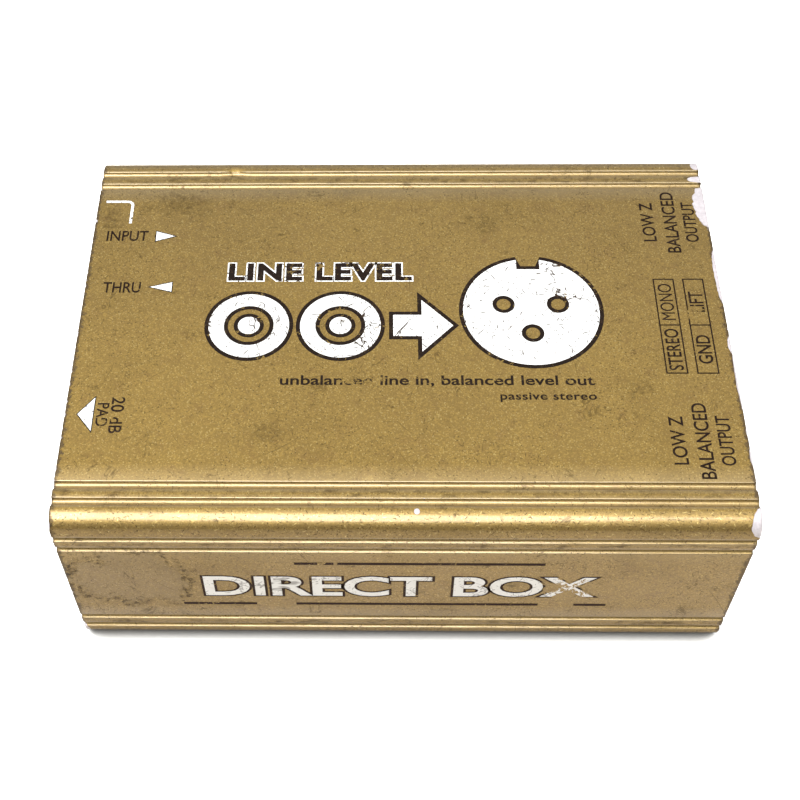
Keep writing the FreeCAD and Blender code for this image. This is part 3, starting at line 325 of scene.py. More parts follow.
def nicks(g, cell_mm, length_mm, width_mm, share, shift_mm, sheet=sleeve_sheet):
    """Short, slightly bent marks turned at random, one to a cell; share of the cells have one."""
    flat = g.vector("ADD", sheet(g), (shift_mm * MM, 0, 0))
    cell = g.add("TexVoronoi", voronoi_dimensions="2D")
    g.put(cell.inputs["Vector"], flat)
    g.put(cell.inputs["Scale"], 1.0 / (cell_mm * MM))
    chance = g.add("SeparateColor")
    g.put(chance.inputs[0], cell.outputs["Color"])
    turned = g.add("VectorRotate", rotation_type="Z_AXIS")
    g.put(turned.inputs["Vector"], g.vector("SUBTRACT", flat, cell.outputs["Position"]))
    g.put(turned.inputs["Angle"], g.math("MULTIPLY", chance.outputs[0], 2 * math.pi))
    along = g.math("DIVIDE", g.axis(0, turned.outputs[0]), length_mm * MM / 2)
    along = g.math("DIVIDE", along, g.span(chance.outputs[1], 0, 1, 0.35, 1.0))
    bend = g.math("MULTIPLY", g.math("MULTIPLY", along, along), length_mm * MM * 0.03)
    across = g.math("DIVIDE", g.math("ADD", g.axis(1, turned.outputs[0]), bend), width_mm * MM / 2)
    mark = g.span(length_of(g, along, across), 1.0, 0.45)
    return g.math("MULTIPLY", mark, g.math("LESS_THAN", chance.outputs[2], share))


def scratches(g, sheet=sleeve_sheet):
    """Scratches of three lengths."""
    return strongest(g, (
        nicks(g, 31.0, 20.0, 0.15, 0.60, 5.0, sheet),
        nicks(g, 13.0, 8.0, 0.13, 0.45, 47.0, sheet),
        nicks(g, 6.0, 3.4, 0.13, 0.45, 23.0, sheet),
    ))


def veins(g, size_mm, low, high):
    """Fine meandering cracks, broken up where a second noise is under low."""
    line = g.math("ABSOLUTE", g.math("SUBTRACT", g.noise(size_mm, 4.0, 0.6, distortion=0.8), 0.5))
    unbroken = g.span(g.noise(size_mm * 0.7, 3.0, 0.6), low, high)
    return g.math("MULTIPLY", g.span(line, 0.010, 0.003), unbroken)


def corner_nicks(g, cell_mm, length_mm, share, shift_mm):
    """Short nicks on the long rounded corners, which rub against everything."""
    over_y, over_z = over_corner(g)
    corner = g.span(g.math("MINIMUM", over_y, over_z), -0.3 * MM, 0.3 * MM, 0.0, share)
    return nicks(g, cell_mm, length_mm, 0.22, corner, shift_mm)


def between_grooves(g):
    """Ragged grime on the narrow land between each pair of grooves."""
    over_y, over_z = over_corner(g)
    land = CORNER_R - sum(GROOVE_OFFSETS) / 2
    away = g.math("ABSOLUTE", g.math("SUBTRACT", g.math("MINIMUM", over_y, over_z), land * MM))
    caught = g.span(g.noise(1.6, 6.0, 0.7, place=g.scaled((0.5, 1, 1))), 0.50, 0.66, 0.0, 0.65)
    return g.math("MULTIPLY", g.span(away, 1.2 * MM, 0.6 * MM), caught)


def smudges(g):
    """Grime: faint clouds, dots and short nicks gathered in some places, scrapes and scratches."""
    handled = g.math("ADD", nearest_of(g, SMUDGED), g.span(g.noise(3.5, 5.0, 0.65), 0.3, 0.7, -0.6, 0.6))
    handled = g.span(handled, 1.0, 0.4)
    ragged = g.span(g.noise(0.9, 5.0, 0.7), 0.42, 0.60, 0.10, 0.54)
    gather = g.math("MAXIMUM", g.span(g.noise(12.0, 5.0, 0.65), 0.44, 0.64, 0.04, 0.85), handled)
    scraped = g.math("ADD", nearest_of(g, SCRAPES), g.span(g.noise(5.0, 4.0, 0.6), 0.2, 0.8, -0.4, 0.4))
    scraped = g.span(scraped, 1.0, 0.8, 0.0, 0.8)
    clouds = g.span(g.noise(26.0, 6.0, 0.65), 0.50, 0.80, 0.0, 0.26)
    blots = g.span(g.noise(2.2, 6.0, 0.68), 0.645, 0.70, 0.0, 0.60)
    strengths = (
        (nicks(g, 0.95, 0.52, 0.30, gather, 31.0), 0.68),
        (nicks(g, 0.62, 0.26, 0.20, g.math("MULTIPLY", gather, 0.6), 71.0), 0.55),
        (nicks(g, 2.3, 1.6, 0.20, g.math("MULTIPLY", gather, 0.75), 57.0), 0.65),
        (nicks(g, 1.9, 1.9, 0.20, scraped, 83.0), 0.6),
        (corner_nicks(g, 1.2, 1.2, 0.5, 97.0), 0.85),
        (veins(g, 9.0, 0.52, 0.60), 0.5),
        (scratches(g), 0.62),
        (handled, ragged),
    )
    marks = [g.math("MULTIPLY", mask, strength) for mask, strength in strengths]
    return strongest(g, [clouds, blots, between_grooves(g)] + marks)


def gold_layers(g):
    """Colour, grime, roughness and bump of the paint; the colour holds painted flake glints and a paler
    lip tint that is partly rubbed paint, partly painted highlight.
    """
    flake = g.add("SeparateColor")
    g.put(flake.inputs[0], g.cells(0.24, "Color"))
    # Per-flake tone: painted glints of the metallic flakes, fixed in the colour.
    painted_sparkle = g.math("POWER", flake.outputs[0], 2.5)
    grain = g.noise(0.30, 3.0, 0.75)
    tone = g.math("ADD", g.math("MULTIPLY", painted_sparkle, 0.45), g.math("MULTIPLY", grain, 0.68))
    patchy = g.span(g.noise(48.0, 3.0, 0.55), 0.3, 0.7, -0.10, 0.10)
    color = g.mix(g.math("ADD", tone, patchy, clamp=True), GOLD_DARK, GOLD_LIGHT)
    # A few flakes that are always bright: painted glints.
    bright = g.add("SeparateColor")
    g.put(bright.inputs[0], g.cells(0.21, "Color"))
    color = g.mix(g.span(bright.outputs[1], 0.90, 0.98, 0.0, 0.26), color, FLAKE_GLINT_AND_SCUFF)
    color = g.mix(g.span(g.noise(3.4, 6.0, 0.75), 0.52, 0.74, 0.0, 0.42), color, RUSTY_GOLD)
    spill = g.math("ADD", nearest_of(g, STAINS), g.span(g.noise(6.0, 5.0, 0.65), 0.2, 0.8, -0.5, 0.5))
    color = g.mix(g.span(spill, 1.0, 0.85, 0.0, 0.30), color, DULL_GOLD)
    shore = g.span(g.math("ABSOLUTE", g.math("SUBTRACT", spill, 1.0)), 0.16, 0.0)
    shore = g.math("MULTIPLY", shore, g.span(g.noise(1.1, 4.0, 0.7), 0.46, 0.58, 0.10, 0.85))
    # Paler on the lips and corners: rubbed paint, and a painted whitening of the highlights that fall
    # there.
    color = g.mix(g.math("MULTIPLY", g.attribute("lip"), 0.8), color, RUBBED_AND_SHEEN_GOLD)
    color = g.mix(g.math("MULTIPLY", corner_nicks(g, 1.7, 1.3, 0.4, 113.0), 0.6), color, FLAKE_GLINT_AND_SCUFF)
    grime = g.math("MAXIMUM", smudges(g), shore)
    color = g.mix(grime, color, GRIME)
    roughness = g.math("ADD", g.span(grain, 0.3, 0.7, 0.42, 0.54), g.math("MULTIPLY", grime, 0.2))
    height = g.math("ADD", g.math("MULTIPLY", grain, 0.6), g.math("MULTIPLY", flake.outputs[1], 0.4))
    return color, grime, roughness, height


def gold_surface(g):
    """Metallic paint under a thin clear coat, bare aluminium at the chips, dirt on the sawn rims."""
    color, grime, roughness, height = gold_layers(g)
    bare = chip_mask(g)
    normal = g.bump(height, 0.016)
    normal = g.bump(g.math("SUBTRACT", 1.0, bare), 0.05, normal)
    dirt = g.math("ADD", from_arris(g), g.span(g.noise(1.5, 5.0, 0.7), 0.3, 0.7, 0.7 * MM, -0.7 * MM))
    dirt = g.span(dirt, 0.9 * MM, 0.5 * MM, 0.0, 0.7)
    color = g.mix(dirt, color, (0.055, 0.040, 0.034, 1))
    grime = g.math("MAXIMUM", grime, dirt)
    orange_peel = g.bump(g.noise(1.6, 2.0), 0.012)
    coat = g.math("SUBTRACT", 0.9, grime, clamp=True)
    paint = g.surface(color, roughness, 0.92, normal, Coat_Weight=coat, Coat_Roughness=0.20,
                      Coat_Normal=orange_peel)
    metal_tone = g.span(g.noise(0.8, 5.0, 0.7), 0.3, 0.75)
    metal_color = g.mix(metal_tone, (0.40, 0.37, 0.385, 1), BARE_METAL)
    metal = g.surface(metal_color, 0.42, 0.25, g.bump(g.noise(0.5, 3.0), 0.02, normal))
    return g.blend(bare, paint, metal)


def gold_paint():
    g = Graph("gold_paint")
    return g.finish(gold_surface(g))


# Where the prints have been rubbed hardest.
RUBBED = (
    ((33.0, -47.0, 21.5), (7.0, 3.0, 6.5)),
    ((64.0, 33.0, 45.0), (3.0, 6.0, 3.0)),
    ((58.5, 2.5, 45.0), (3.4, 2.6, 3.0)),
    ((-8.0, -14.0, 45.0), (6.0, 2.4, 3.0)),
    ((-57.0, -24.0, 45.0), (2.0, 3.0, 3.0)),
)


def ink(name, color, flaking, dirt=0.6):
    """Screen-printed ink: flaked off in places down to the gold, with dirt caught in its scratches."""
    g = Graph(name)
    broad = g.span(g.noise(10.0, 4.0, 0.6), 0.35, 0.75, -0.05, 0.09)
    rubbed = g.span(nearest_of(g, RUBBED), 1.0, 0.5, 0.0, 0.17)
    flaked = g.math("ADD", g.noise(1.3, 8.0, 0.74, distortion=0.5), g.math("ADD", broad, rubbed))
    worn = g.span(flaked, 0.70 - flaking, 0.707 - flaking)
    worn = g.math("MAXIMUM", worn, chip_mask(g))
    gather = g.span(g.noise(7.5, 4.0, 0.6), 0.41, 0.52)
    cracks = strongest(g, (
        scratches(g),
        nicks(g, 2.4, 2.6, 0.26, g.math("MULTIPLY", gather, 0.85), 9.0),
        nicks(g, 1.1, 1.0, 0.20, g.math("MULTIPLY", gather, 0.75), 19.0),
        veins(g, 14.0, 0.46, 0.50),
    ))
    tint = g.mix(g.math("MULTIPLY", cracks, dirt), color, GRIME)
    tint = g.mix(g.span(g.noise(3.0, 5.0, 0.7), 0.58, 0.76, 0.0, 0.3), tint, DULL_GOLD)
    printed = g.surface(tint, 0.65, 0.0, g.bump(g.noise(0.4, 2.0), 0.008), Specular_IOR_Level=0.07)
    return g.finish(g.blend(worn, printed, gold_surface(g)))


# ---- other materials ----------------------------------------------------------------------------
def metal(name, color, roughness, grain_mm, tarnish):
    """Plated or plain metal with uneven polish, faint tarnish and fine pits."""
    g = Graph(name)
    uneven = g.noise(grain_mm * 6, 4.0, 0.6)
    fine = g.noise(grain_mm * 0.4, 3.0, 0.6)
    dull = tuple(c * 0.45 for c in color[:3]) + (1,)
    shade = g.mix(g.span(uneven, 0.45, 0.8, 0.0, tarnish), color, dull)
    rough = g.math("ADD", g.span(uneven, 0.3, 0.7, roughness * 0.7, roughness * 1.3),
                   g.span(fine, 0.55, 0.75, 0.0, 0.08))
    return g.finish(g.surface(shade, rough, 1.0, g.bump(fine, 0.004)))


def anodised_black():
    """Brushed, black-dyed aluminium: lines along Y, dust, and pale rubs."""
    g = Graph("black_anodised")
    brushed = g.noise(0.35, 3.0, 0.6, place=g.scaled((1, 0.04, 1)))
    dust = g.span(g.noise(5.0, 6.0, 0.7), 0.52, 0.80, 0.0, 0.30)
    color = g.mix(brushed, (0.010, 0.010, 0.011, 1), (0.034, 0.033, 0.034, 1))
    color = g.mix(dust, color, (0.13, 0.12, 0.105, 1))
    color = g.mix(g.math("MULTIPLY", scratches(g, end_sheet), 0.4), color, (0.35, 0.34, 0.33, 1))
    rough = g.span(brushed, 0.3, 0.7, 0.36, 0.52)
    return g.finish(g.surface(color, rough, 0.35, g.bump(brushed, 0.006)))


def moulding(name, color, roughness=0.42, texture_mm=0.12, depth_mm=0.006, dusty=0.2):
    """Moulded plastic with a fine spark-eroded texture and settled dust."""
    g = Graph(name)
    texture = g.noise(texture_mm, 2.0, 0.5)
    cloud = g.noise(6.0, 4.0, 0.6)
    pale = tuple(min(1.0, c * 1.6 + 0.04) for c in color[:3]) + (1,)
    shade = g.mix(g.span(cloud, 0.5, 0.8, 0.0, dusty), color, pale)
    rough = g.span(cloud, 0.3, 0.7, roughness * 0.85, roughness * 1.2)
    return g.finish(g.surface(shade, rough, 0.0, g.bump(texture, depth_mm)))


def phenolic_board():
    """Pressed brown board: fibres along Y and a cut, matt edge."""
    g = Graph("phenolic")
    fibre = g.noise(0.5, 5.0, 0.7, place=g.scaled((1, 0.2, 1)))
    color = g.mix(fibre, (0.085, 0.032, 0.012, 1), (0.24, 0.105, 0.04, 1))
    return g.finish(g.surface(color, 0.55, 0.0, g.bump(fibre, 0.02)))


WEAVE_PITCH = 0.7               # of the glass cloth in the board, in millimetres


def solder_mask():
    """Green board: copper areas show through as lighter green under the lacquer, with a weave."""
    g = Graph("board_green")
    copper = g.cells(7.0, "Distance", "DISTANCE_TO_EDGE")
    tracks = g.span(copper, 0.05, 0.07)
    threads = 2 * math.pi / (WEAVE_PITCH * MM)
    weave = g.math("MULTIPLY", g.math("SINE", g.math("MULTIPLY", g.axis(0), threads)),
                   g.math("SINE", g.math("MULTIPLY", g.axis(1), threads)))
    color = g.mix(tracks, (0.004, 0.060, 0.020, 1), (0.012, 0.125, 0.042, 1))
    color = g.mix(g.span(weave, -1, 1, 0.0, 0.25), color, (0.03, 0.16, 0.06, 1))
    relief = g.math("ADD", tracks, g.math("MULTIPLY", weave, 0.1))
    return g.finish(g.surface(color, 0.3, 0.0, g.bump(relief, 0.03)))


def laminated_core():
    """A stack of thin sheets seen edge on: 0.35 mm lines across Y, lightly rusted."""
    g = Graph("lamination")
    sheets = g.math("PINGPONG", g.axis(1), 0.35 * MM)
    edge = g.span(sheets, 0.0, 0.08 * MM)
    rust = g.span(g.noise(3.0, 5.0, 0.7), 0.55, 0.75, 0.0, 0.6)
    color = g.mix(edge, (0.03, 0.03, 0.032, 1), (0.22, 0.22, 0.23, 1))
    color = g.mix(rust, color, (0.16, 0.07, 0.03, 1))
    return g.finish(g.surface(color, 0.5, 0.7, g.bump(edge, 0.04)))


def winding_tape():
    """Yellow polyester tape wrapped over wire: the turns show through as fine ribs."""
    g = Graph("winding_tape")
    turns = g.math("SINE", g.math("MULTIPLY", g.axis(2), 2 * math.pi / (0.45 * MM)))
    wrinkle = g.noise(2.5, 3.0, 0.6)
    color = g.mix(wrinkle, (0.50, 0.34, 0.03, 1), (0.78, 0.60, 0.09, 1))
    height = g.math("ADD", g.math("MULTIPLY", turns, 0.25), wrinkle)
    return g.finish(g.surface(color, 0.28, 0.0, g.bump(height, 0.06)))


def resistor_lacquer():
    """Blue lacquer with colour bands across each body, and bright leads at both ends."""
    g = Graph("resistor_lacquer")
    low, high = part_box("pad_resistors")
    middle = (low.x + high.x) / 2
    along = g.math("SUBTRACT", g.axis(0), middle)
    color = g.mix(g.noise(1.2, 3.0), (0.10, 0.24, 0.38, 1), (0.16, 0.34, 0.50, 1))
    bands = ((-2.5, (0.30, 0.04, 0.02, 1)), (-1.1, (0.02, 0.02, 0.02, 1)), (0.0, (0.55, 0.25, 0.02, 1)),
             (1.1, (0.10, 0.03, 0.01, 1)), (2.5, (0.45, 0.30, 0.05, 1)))
    for centre, band in bands:
        offset = g.math("ABSOLUTE", g.math("SUBTRACT", along, centre * MM))
        color = g.mix(g.math("LESS_THAN", offset, 0.3 * MM), color, band)
    lead = g.math("GREATER_THAN", g.math("ABSOLUTE", along), 3.2 * MM)
    body = g.surface(color, 0.3, 0.0, g.bump(g.noise(0.6, 3.0), 0.02))
    wire = g.surface((0.70, 0.69, 0.67, 1), g.span(g.noise(0.9, 3.0), 0.3, 0.7, 0.2, 0.4), 1.0)
    return g.finish(g.blend(lead, body, wire))


def make_materials():
    """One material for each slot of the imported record."""
    nickel = (0.60, 0.575, 0.53, 1)
    return {
        "gold_paint": gold_paint(),
        "black_anodised": anodised_black(),
        "zinc_steel": metal("zinc_steel", (0.56, 0.56, 0.55, 1), 0.30, 0.7, 0.5),
        "satin_nickel": metal("satin_nickel", nickel, 0.34, 0.5, 0.35),
        "bright_nickel": metal("bright_nickel", (0.70, 0.68, 0.63, 1), 0.17, 0.8, 0.45),
        "contact_silver": metal("contact_silver", (0.80, 0.78, 0.74, 1), 0.20, 0.6, 0.3),
        "tinned_brass": metal("tinned_brass", (0.70, 0.56, 0.30, 1), 0.26, 0.6, 0.3),
        "spring_bronze": metal("spring_bronze", (0.62, 0.38, 0.20, 1), 0.28, 0.6, 0.3),
        "tinned_copper": metal("tinned_copper", (0.70, 0.68, 0.66, 1), 0.24, 0.5, 0.3),
        "shield_steel": metal("shield_steel", (0.42, 0.42, 0.41, 1), 0.42, 1.2, 0.4),
        "black_moulding": moulding("black_moulding", (0.018, 0.018, 0.020, 1)),
        "white_moulding": moulding("white_moulding", (0.72, 0.70, 0.63, 1), 0.30, 0.3, 0.003, 0.0),
        "red_moulding": moulding("red_moulding", (0.50, 0.016, 0.014, 1), 0.30, 0.3, 0.003, 0.15),
        "phenolic": phenolic_board(),
        "board_green": solder_mask(),
        "lamination": laminated_core(),
        "winding_tape": winding_tape(),
        "resistor_lacquer": resistor_lacquer(),
        "capacitor_coat": moulding("capacitor_coat", (0.45, 0.035, 0.02, 1), 0.22, 1.4, 0.05, 0.1),
        "wire_grey": moulding("wire_grey", (0.30, 0.30, 0.31, 1), 0.45, 0.5, 0.004),
        "wire_black": moulding("wire_black", (0.03, 0.03, 0.03, 1), 0.42, 0.5, 0.004),
        "wire_white": moulding("wire_white", (0.68, 0.67, 0.61, 1), 0.42, 0.5, 0.004, 0.0),
    }


def finish_nodes(materials):
    """Gives every CAD node the material of its slot in the record."""
    for part in frame["record"]["subparts"]:
        data = frame["nodes"][part["node"]].data
        data.materials.clear()
        data.materials.append(materials[part["material_slot"]])


# ---- the case -----------------------------------------------------------------------------------
FLAT_STEP = 4.0                 # between points across a flat face
STATION_STEP = 1.2              # between sections along the case
END_STEP = 0.35                 # near the sawn ends
END_STATIONS = 9
RIM_STEPS = 3
CORNER_STEPS = 12
LIP_STEPS = 3
GROOVE_STEPS = 10
AT_END = 0.01                   # points this near a sawn end belong to it
SEAM = 1e-6                     # points of the case's mesh this near each other, in metres, are one


def groove_run(centre):
    """A groove as (distance along the face, depth, lip) points: rounded lip, half round, rounded lip."""
    lift = GROOVE_R - GROOVE_DEPTH
    reach = math.sqrt((GROOVE_R + LIP_R) ** 2 - (lift + LIP_R) ** 2)
    turn = math.atan2(reach, lift + LIP_R)

    def lip(side, share):
        angle = turn * share
        # Lip weight: its pale tint (rubbed paint and painted highlight whitening), chips and knocks.
        wear_and_sheen = math.sin(math.pi * (0.15 + 0.7 * share))
        return (centre + side * (reach - LIP_R * math.sin(angle)), LIP_R * (1 - math.cos(angle)), wear_and_sheen)

    shares = [i / LIP_STEPS for i in range(LIP_STEPS + 1)]
    bottom = [turn * (2 * i / GROOVE_STEPS - 1) for i in range(1, GROOVE_STEPS)]
    round_part = [(centre + GROOVE_R * math.sin(a), GROOVE_R * math.cos(a) - lift, GROOVE_RUB_AND_SHEEN)
                  for a in bottom]
    return [lip(-1, s) for s in shares] + round_part + [lip(1, s) for s in reversed(shares)]


def side_run(length):
    """One face of the section, from corner to corner."""
    near = [(CORNER_R, 0.0, 0.0)]
    near += groove_run(GROOVE_OFFSETS[0])
    near.append((sum(GROOVE_OFFSETS) / 2, 0.0, 0.0))
    near += groove_run(GROOVE_OFFSETS[1])
    far = [(length - s, depth, lip) for s, depth, lip in reversed(near)]
    start, end = near[-1][0], far[0][0]
    count = round((end - start) / FLAT_STEP)
    middle = [(start + (end - start) * i / count, 0.0, 0.0) for i in range(1, count)]
    return near + middle + far


def section():
    """The outside of the extrusion as (y, z, lip), anticlockwise seen from the output end."""
    points = []
    sides = (((-HALF_WIDTH, 0), (1, 0), 2 * HALF_WIDTH), ((HALF_WIDTH, 0), (0, 1), HEIGHT),
             ((HALF_WIDTH, HEIGHT), (-1, 0), 2 * HALF_WIDTH), ((-HALF_WIDTH, HEIGHT), (0, -1), HEIGHT))
    for (y, z), (ty, tz), length in sides:
        for s, depth, lip in side_run(length):
            points.append((y + ty * s - tz * depth, z + tz * s + ty * depth, lip))
        hub = (y + ty * (length - CORNER_R) - tz * CORNER_R, z + tz * (length - CORNER_R) + ty * CORNER_R)
        for i in range(1, CORNER_STEPS):
            angle = math.pi / 2 * i / CORNER_STEPS
            out_y = tz * math.cos(angle) + ty * math.sin(angle)
            out_z = -ty * math.cos(angle) + tz * math.sin(angle)
            # The rounded corners take a quarter of the lip weight, so they get a little of the same pale
            # tint, partly painted highlight.
            points.append((hub[0] + CORNER_R * out_y, hub[1] + CORNER_R * out_z, 0.25))
    return points


def inward_normals(points):
    normals = []
    for i in range(len(points)):
        before, after = points[i - 1], points[(i + 1) % len(points)]
        along = Vector((after[0] - before[0], after[1] - before[1])).normalized()
        normals.append((-along.y, along.x))
    return normals


def stations():
    """(x, inset) pairs along the case, with a rounded rim at both sawn ends."""
    rim = []
    for i in range(RIM_STEPS + 1):
        angle = math.pi / 2 * i / RIM_STEPS
        rim.append((RIM_R * (1 - math.cos(angle)), RIM_R * (1 - math.sin(angle))))
    rim += [(RIM_R + END_STEP * i, 0.0) for i in range(1, END_STATIONS)]
    inner = HALF_LENGTH - rim[-1][0]
    count = round(2 * inner / STATION_STEP)
    middle = [(-inner + 2 * inner * i / count, 0.0) for i in range(1, count)]
    return ([(-HALF_LENGTH + x, inset) for x, inset in rim] + middle
            + [(HALF_LENGTH - x, inset) for x, inset in reversed(rim)])


def knock(x, y, z, lip):
    """How far a point of the outside is dented inwards, in millimetres."""
    depth = 0.0
    for centre, reach in CHIPS:
        distance = math.sqrt(sum(((p - c) / r) ** 2 for p, c, r in zip((x, y, z), centre, reach)))
        depth = max(depth, CHIP_DEPTH * (1 - distance))
    centre, reach = DENT
    dent = sum(((p - c) / r) ** 2 for p, c, r in zip((x, y, z), centre, reach))
    depth += DENT_DEPTH * max(0.0, 1 - dent)
    ripple = noise.noise(Vector((x * 0.33, y * 0.5, z * 0.5)))
    depth += LIP_DEPTH * lip * max(0.0, ripple - 0.25)
    near_end = max(0.0, 1 - (HALF_LENGTH - abs(x)) / END_REACH)
    depth += END_DEPTH * near_end * max(0.0, noise.noise(Vector((x, y * 0.5, z * 0.5))) - 0.1)
    return depth


def cut_to_inside(bm):
    """Leaves only the inner walls, screw ports and card guides of the case's own mesh."""
    bmesh.ops.remove_doubles(bm, verts=bm.verts, dist=SEAM)
    skin_y = (HALF_WIDTH - WALL / 2) * MM
    skin_z = (HEIGHT / 2 - WALL / 2) * MM
    end_x = (HALF_LENGTH - AT_END) * MM
    doomed = []
    for face in bm.faces:
        middle = face.calc_center_median()
        outside = abs(middle.y) > skin_y or abs(middle.z - HEIGHT / 2 * MM) > skin_z
        at_end = all(abs(v.co.x) > end_x for v in face.verts)
        if outside or at_end:
            doomed.append(face)
    bmesh.ops.delete(bm, geom=doomed, context="FACES")


def add_outside(bm):
    """The grooved outside, as rings of points joined by quads; returns the two end rings' edges."""
    lip_layer = bm.verts.layers.float.new("lip")
    points = section()
    normals = inward_normals(points)
    rings = []
    for x, inset in stations():
        ring = []
        for (y, z, lip), (ny, nz) in zip(points, normals):
            depth = inset + knock(x, y, z, lip)
            vert = bm.verts.new(((x * MM), (y + ny * depth) * MM, (z + nz * depth) * MM))
            vert[lip_layer] = lip
            ring.append(vert)
        rings.append(ring)
    for here, there in zip(rings, rings[1:]):
        for i, vert in enumerate(here):
            bm.faces.new((here[i - 1], vert, there[i], there[i - 1]))
    ends = []
    for ring in (rings[0], rings[-1]):
        ends.append([bm.edges.get((ring[i - 1], ring[i])) for i in range(len(ring))])
    return ends


def close_ends(bm, ends):
    """Fills the flat, ring-shaped cut between the outside and the cavity at each end."""
    for outer, side in zip(ends, (-1, 1)):
        inner = [e for e in bm.edges if e.is_boundary and e not in outer
                 and all(side * v.co.x > (HALF_LENGTH - AT_END) * MM for v in e.verts)]
        bmesh.ops.triangle_fill(bm, use_beauty=True, edges=outer + inner)


def link_mesh(name, mesh, material):
    piece = bpy.data.objects.new(name, mesh)
    bpy.context.scene.collection.objects.link(piece)
    mesh.materials.clear()
    mesh.materials.append(material)
    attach(piece, "root")
    return piece


def build_case(material):
    bm = bmesh.new()
    bm.from_mesh(frame["nodes"]["extruded_case"].data)
    cut_to_inside(bm)
    close_ends(bm, add_outside(bm))
    bmesh.ops.recalc_face_normals(bm, faces=bm.faces)
    mesh = bpy.data.meshes.new("worn_case")
    bm.to_mesh(mesh)
    bm.free()
    mesh.shade_smooth()
    mesh.set_sharp_from_angle(angle=math.radians(35))
    case = link_mesh("worn_case", mesh, material)
    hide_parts("extruded_case")


# ---- printed legends ----------------------------------------------------------------------------
def on_top(x, y, turn=0.0):
    """A print's place on the top face, in millimetres, turned in degrees."""
    return Matrix.Translation((x * MM, y * MM, HEIGHT * MM)) @ Matrix.Rotation(math.radians(turn), 4, "Z")


def on_front(x, z):
    """A print's place on the front face."""
    return Matrix.Translation((x * MM, -HALF_WIDTH * MM, z * MM)) @ Matrix.Rotation(math.pi / 2, 4, "X")


def solid_from(curve):
    """The filled and extruded curve as a mesh with merged seams."""
    holder = bpy.data.objects.new(curve.name, curve)
    bpy.context.scene.collection.objects.link(holder)
    bpy.context.view_layer.update()
    mesh = bpy.data.meshes.new_from_object(holder.evaluated_get(bpy.context.evaluated_depsgraph_get()))
    bpy.data.objects.remove(holder)
    bm = bmesh.new()
    bm.from_mesh(mesh)
    bmesh.ops.remove_doubles(bm, verts=bm.verts, dist=1e-5)
    bmesh.ops.recalc_face_normals(bm, faces=bm.faces)
    bm.to_mesh(mesh)
    bm.free()
    return mesh


def extent(mesh):
    xs = [v.co.x for v in mesh.vertices]
    ys = [v.co.y for v in mesh.vertices]
    return min(xs), max(xs), min(ys), max(ys)


def words_mesh(words, grow, spacing):
    """Words as a solid in the font's own units."""
    curve = bpy.data.curves.new("words", "FONT")
    curve.space_character = spacing
    curve.body = words
    curve.offset = grow
    curve.extrude = 0.5
    curve.resolution_u = 5
    return solid_from(curve)


def print_words(name, words, size, place, layers, spacing=1.0):
    """Words fitted to size, in millimetres; layers are (material, growth in mm, level) from below up."""
    left, right, low, high = extent(words_mesh(words, 0.0, spacing))
    scale_x, scale_y = size[0] / (right - left), size[1] / (high - low)
    centre = Matrix.Translation((-(left + right) / 2, -(low + high) / 2, 0))
    for material, grow, level in layers:
        mesh = words_mesh(words, grow / ((scale_x + scale_y) / 2), spacing)
        thick = (INK_LIFT + INK_STEP * level) * MM
        mesh.transform(place @ Matrix.Diagonal((scale_x * MM, scale_y * MM, 2 * thick, 1)) @ centre)
        suffix = f"_{level}" if len(layers) > 1 else ""
        link_mesh(name + suffix, mesh, material)


def print_shape(name, loops, place, material, level=0):
    """A filled shape from closed loops in millimetres; loops inside others are holes."""
    curve = bpy.data.curves.new(name, "CURVE")
    curve.dimensions = "2D"
    curve.fill_mode = "BOTH"
    curve.extrude = 0.5
    for loop in loops:
        spline = curve.splines.new("POLY")
        spline.points.add(len(loop) - 1)
        for point, (x, y) in zip(spline.points, loop):
            point.co = (x, y, 0, 1)
        spline.use_cyclic_u = True
    mesh = solid_from(curve)
    thick = (INK_LIFT + INK_STEP * level) * MM
    mesh.transform(place @ Matrix.Diagonal((MM, MM, 2 * thick, 1)))
    return link_mesh(name, mesh, material)


def circle(x, y, r, count=72):
    return [(x + r * math.cos(2 * math.pi * i / count), y + r * math.sin(2 * math.pi * i / count))
            for i in range(count)]


def rectangle(x0, y0, x1, y1):
    return [(x0, y0), (x1, y0), (x1, y1), (x0, y1)]


def grown(loop, amount):
    """An anticlockwise loop moved outwards by amount, with square mitres."""
    result = []
    for i, corner in enumerate(loop):
        before = (Vector(corner) - Vector(loop[i - 1])).normalized()
        after = (Vector(loop[(i + 1) % len(loop)]) - Vector(corner)).normalized()
        out = (Vector((before.y, -before.x)) + Vector((after.y, -after.x))).normalized()
        stretch = amount / max(0.35, math.sqrt((1 + before.dot(after)) / 2))
        result.append(tuple(Vector(corner) + out * stretch))
    return result


def print_outlined(name, shape, place, fill, outline, width):
    """A shape in fill over the same shape grown by width in outline; shape is a function of growth."""
    print_shape(name + "_outline", shape(width), place, outline, 0)
    print_shape(name, shape(0.0), place, fill, 1)


def pointer(base_x, tip_x, half):
    """A long triangle, anticlockwise."""
    loop = [(base_x, -half), (tip_x, 0.0), (base_x, half)]
    return loop if tip_x > base_x else [loop[0], loop[2], loop[1]]


def phono_ring(x, y, r):
    def shape(grow):
        return [circle(x, y, r + grow), circle(x, y, 0.62 * r - grow), circle(x, y, 0.27 * r + grow)]
    return shape


def wide_arrow(x0, x1, y, shaft, head):
    neck = x1 - 0.95 * head
    lower = [(x0, y - shaft), (neck, y - shaft), (neck, y - head)]
    upper = [(neck, y + head), (neck, y + shaft), (x0, y + shaft)]
    loop = lower + [(x1, y)] + upper

    def shape(grow):
        return [grown(loop, grow)]
    return shape


